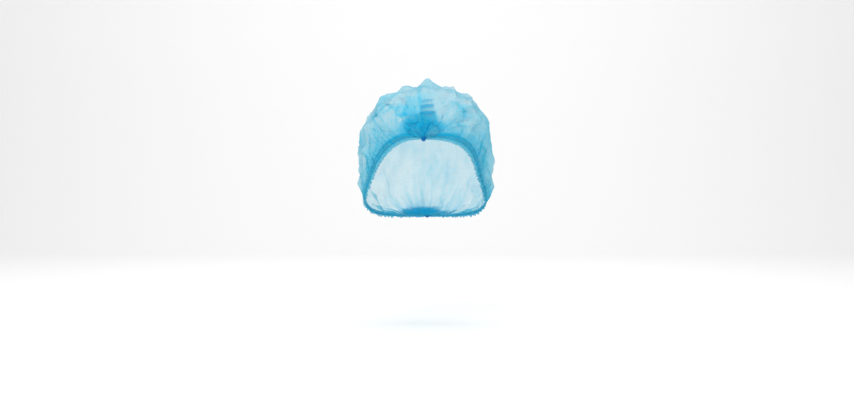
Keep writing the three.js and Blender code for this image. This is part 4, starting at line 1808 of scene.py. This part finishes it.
@dataclass
class Studio:
    """The plain studio: a pale floor that runs up into a backdrop, soft lights and the camera.

    Attributes:
        floor: height of the floor, in metres.
        front: how far in front of the cap the floor starts, as a negative y.
        side: half its width.
        top: how high the backdrop stands over the floor.
        back: how far behind the cap the floor starts to rise.
        bend: radius of the bend between floor and backdrop.
        distance: from the camera to the middle of the cap.
        eye: height of the camera.
        width: width of the view at the cap's distance.
        glow: strength of the white surround.
        lamps: rows of a lamp's name, place, the point it faces, its size and its power in watts.
    """

    floor: float = -0.252
    front: float = -4.0
    side: float = 5.0
    top: float = 4.0
    back: float = 2.2
    bend: float = 0.8
    distance: float = 1.5
    eye: float = -0.088
    width: float = 1.153
    glow: float = 0.66
    lamps: tuple = (
        ("overhead", (0.0, -0.1, 1.5), (0, 0, 0), 1.6, 8.0),
        ("key", (-0.35, -1.5, 1.15), (0, 0, 0.0), 0.8, 14.0),
        ("backdrop", (0, 0.9, 2.0), (0, 3.0, 0.6), 2.0, 16.0),
    )

    def build(self) -> None:
        """The floor, the backdrop, the world, the lights and the camera."""
        self.sweep()
        self.world()
        self.lights()
        self.camera()

    def sweep(self) -> None:
        """A floor and a backdrop in one sheet, joined by a quarter circle."""
        turn = np.linspace(0, np.pi / 2, 17)
        y = np.concatenate([[self.front], self.back + self.bend * np.sin(turn), [self.back + self.bend]])
        z = np.concatenate([[0.0], self.bend * (1 - np.cos(turn)), [self.top]]) + self.floor
        x = np.array([-self.side, self.side])
        points = np.stack(np.broadcast_arrays(x[None, :], y[:, None], z[:, None]), axis=-1)
        mesh_object("studio_sweep", points, grid_faces(len(y), 2), StudioPaper().build())

    def world(self) -> None:
        """An even white surround, and a colour transform that keeps white paper white."""
        world = bpy.data.worlds.new("studio_world")
        world.use_nodes = True
        tree = world.node_tree
        tree.nodes.clear()
        glow = add_node(tree, "Background", Color=linear("#ffffff"), Strength=self.glow)
        add_node(tree, "OutputWorld", Surface=glow.outputs["Background"])
        scene = bpy.context.scene
        scene.world = world
        scene.view_settings.view_transform = "Standard"
        scene.cycles.transparent_max_bounces = 48

    def lights(self) -> None:
        """A broad light overhead, a key from the upper left of the front and a light on the backdrop."""
        for name, place, aim, size, power in self.lamps:
            data = bpy.data.lights.new(name, "AREA")
            data.shape = "DISK"
            data.size = size
            data.energy = power
            self.hang(name, data, place, aim)

    def camera(self) -> None:
        """A level camera straight in front, whose middle line passes below the cap."""
        data = bpy.data.cameras.new("camera")
        data.sensor_width = 36.0
        data.lens = data.sensor_width * self.distance / self.width
        data.clip_end = 50.0
        place = (0, -self.distance, self.eye)
        bpy.context.scene.camera = self.hang("camera", data, place, (0, 0, self.eye))

    def hang(self, name: str, data: bpy.types.ID, place: tuple, aim: tuple) -> bpy.types.Object:
        """Puts a light or the camera at a place, turned to face a point.

        Args:
            name: its name.
            data: the light or the camera.
            place: where it stands, in metres.
            aim: the point that it faces.

        Returns:
            The object.
        """
        thing = bpy.data.objects.new(name, data)
        bpy.context.scene.collection.objects.link(thing)
        thing.location = place
        thing.rotation_euler = (Vector(aim) - Vector(place)).to_track_quat("-Z", "Y").to_euler()
        return thing


@dataclass
class ClipCap:
    """The whole cap, built piece by piece.

    Attributes:
        form: the form that its web lies on.
        drops: how far each end's weld starts past the ridge's end, in millimetres.
    """

    form: CapForm
    drops: tuple = ((End.FRONT, 1.8), (End.NAPE, 1.2))

    def build(self) -> None:
        """Builds and dresses every piece, and settles each on the body."""
        web, film, rubber = SpunbondWeb().build(), FUSED_FILM.build(), BLUE_RUBBER.build()
        crown = self.settle(Crown(self.form).build(web), "crown")
        for side in Side:
            name = side.name.lower()
            self.settle(Hem(self.form, side).build(web), f"{name}_hem")
            self.settle(Elastic(self.form, side).build(rubber), f"{name}_elastic")
        for end, drop in self.drops:
            name = end.name.lower()
            self.settle(Bundle(self.form, end).build(web), f"{name}_bundle")
            self.settle(Weld(self.form, end, drop).build(film), f"{name}_weld")
        self.settle(PleatStack(self.form).build(web), "front_pleat_stack")

    def settle(self, piece: Piece, node: str) -> Piece:
        """Rides a piece on the body, hides the frame's node that it stands for, and reports it.

        Args:
            piece: the finished piece.
            node: the frame's node.

        Returns:
            The same piece.
        """
        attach(piece, BODY)
        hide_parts(node)
        LOG.info("%s: %d faces", piece.name, len(piece.data.polygons))
        return piece


def main() -> None:
    """Builds the studio and the cap."""
    logging.basicConfig(level=logging.INFO, format="%(name)s: %(message)s")
    Studio().build()
    ClipCap(CapForm()).build()


if __name__ == "__main__":
    main()
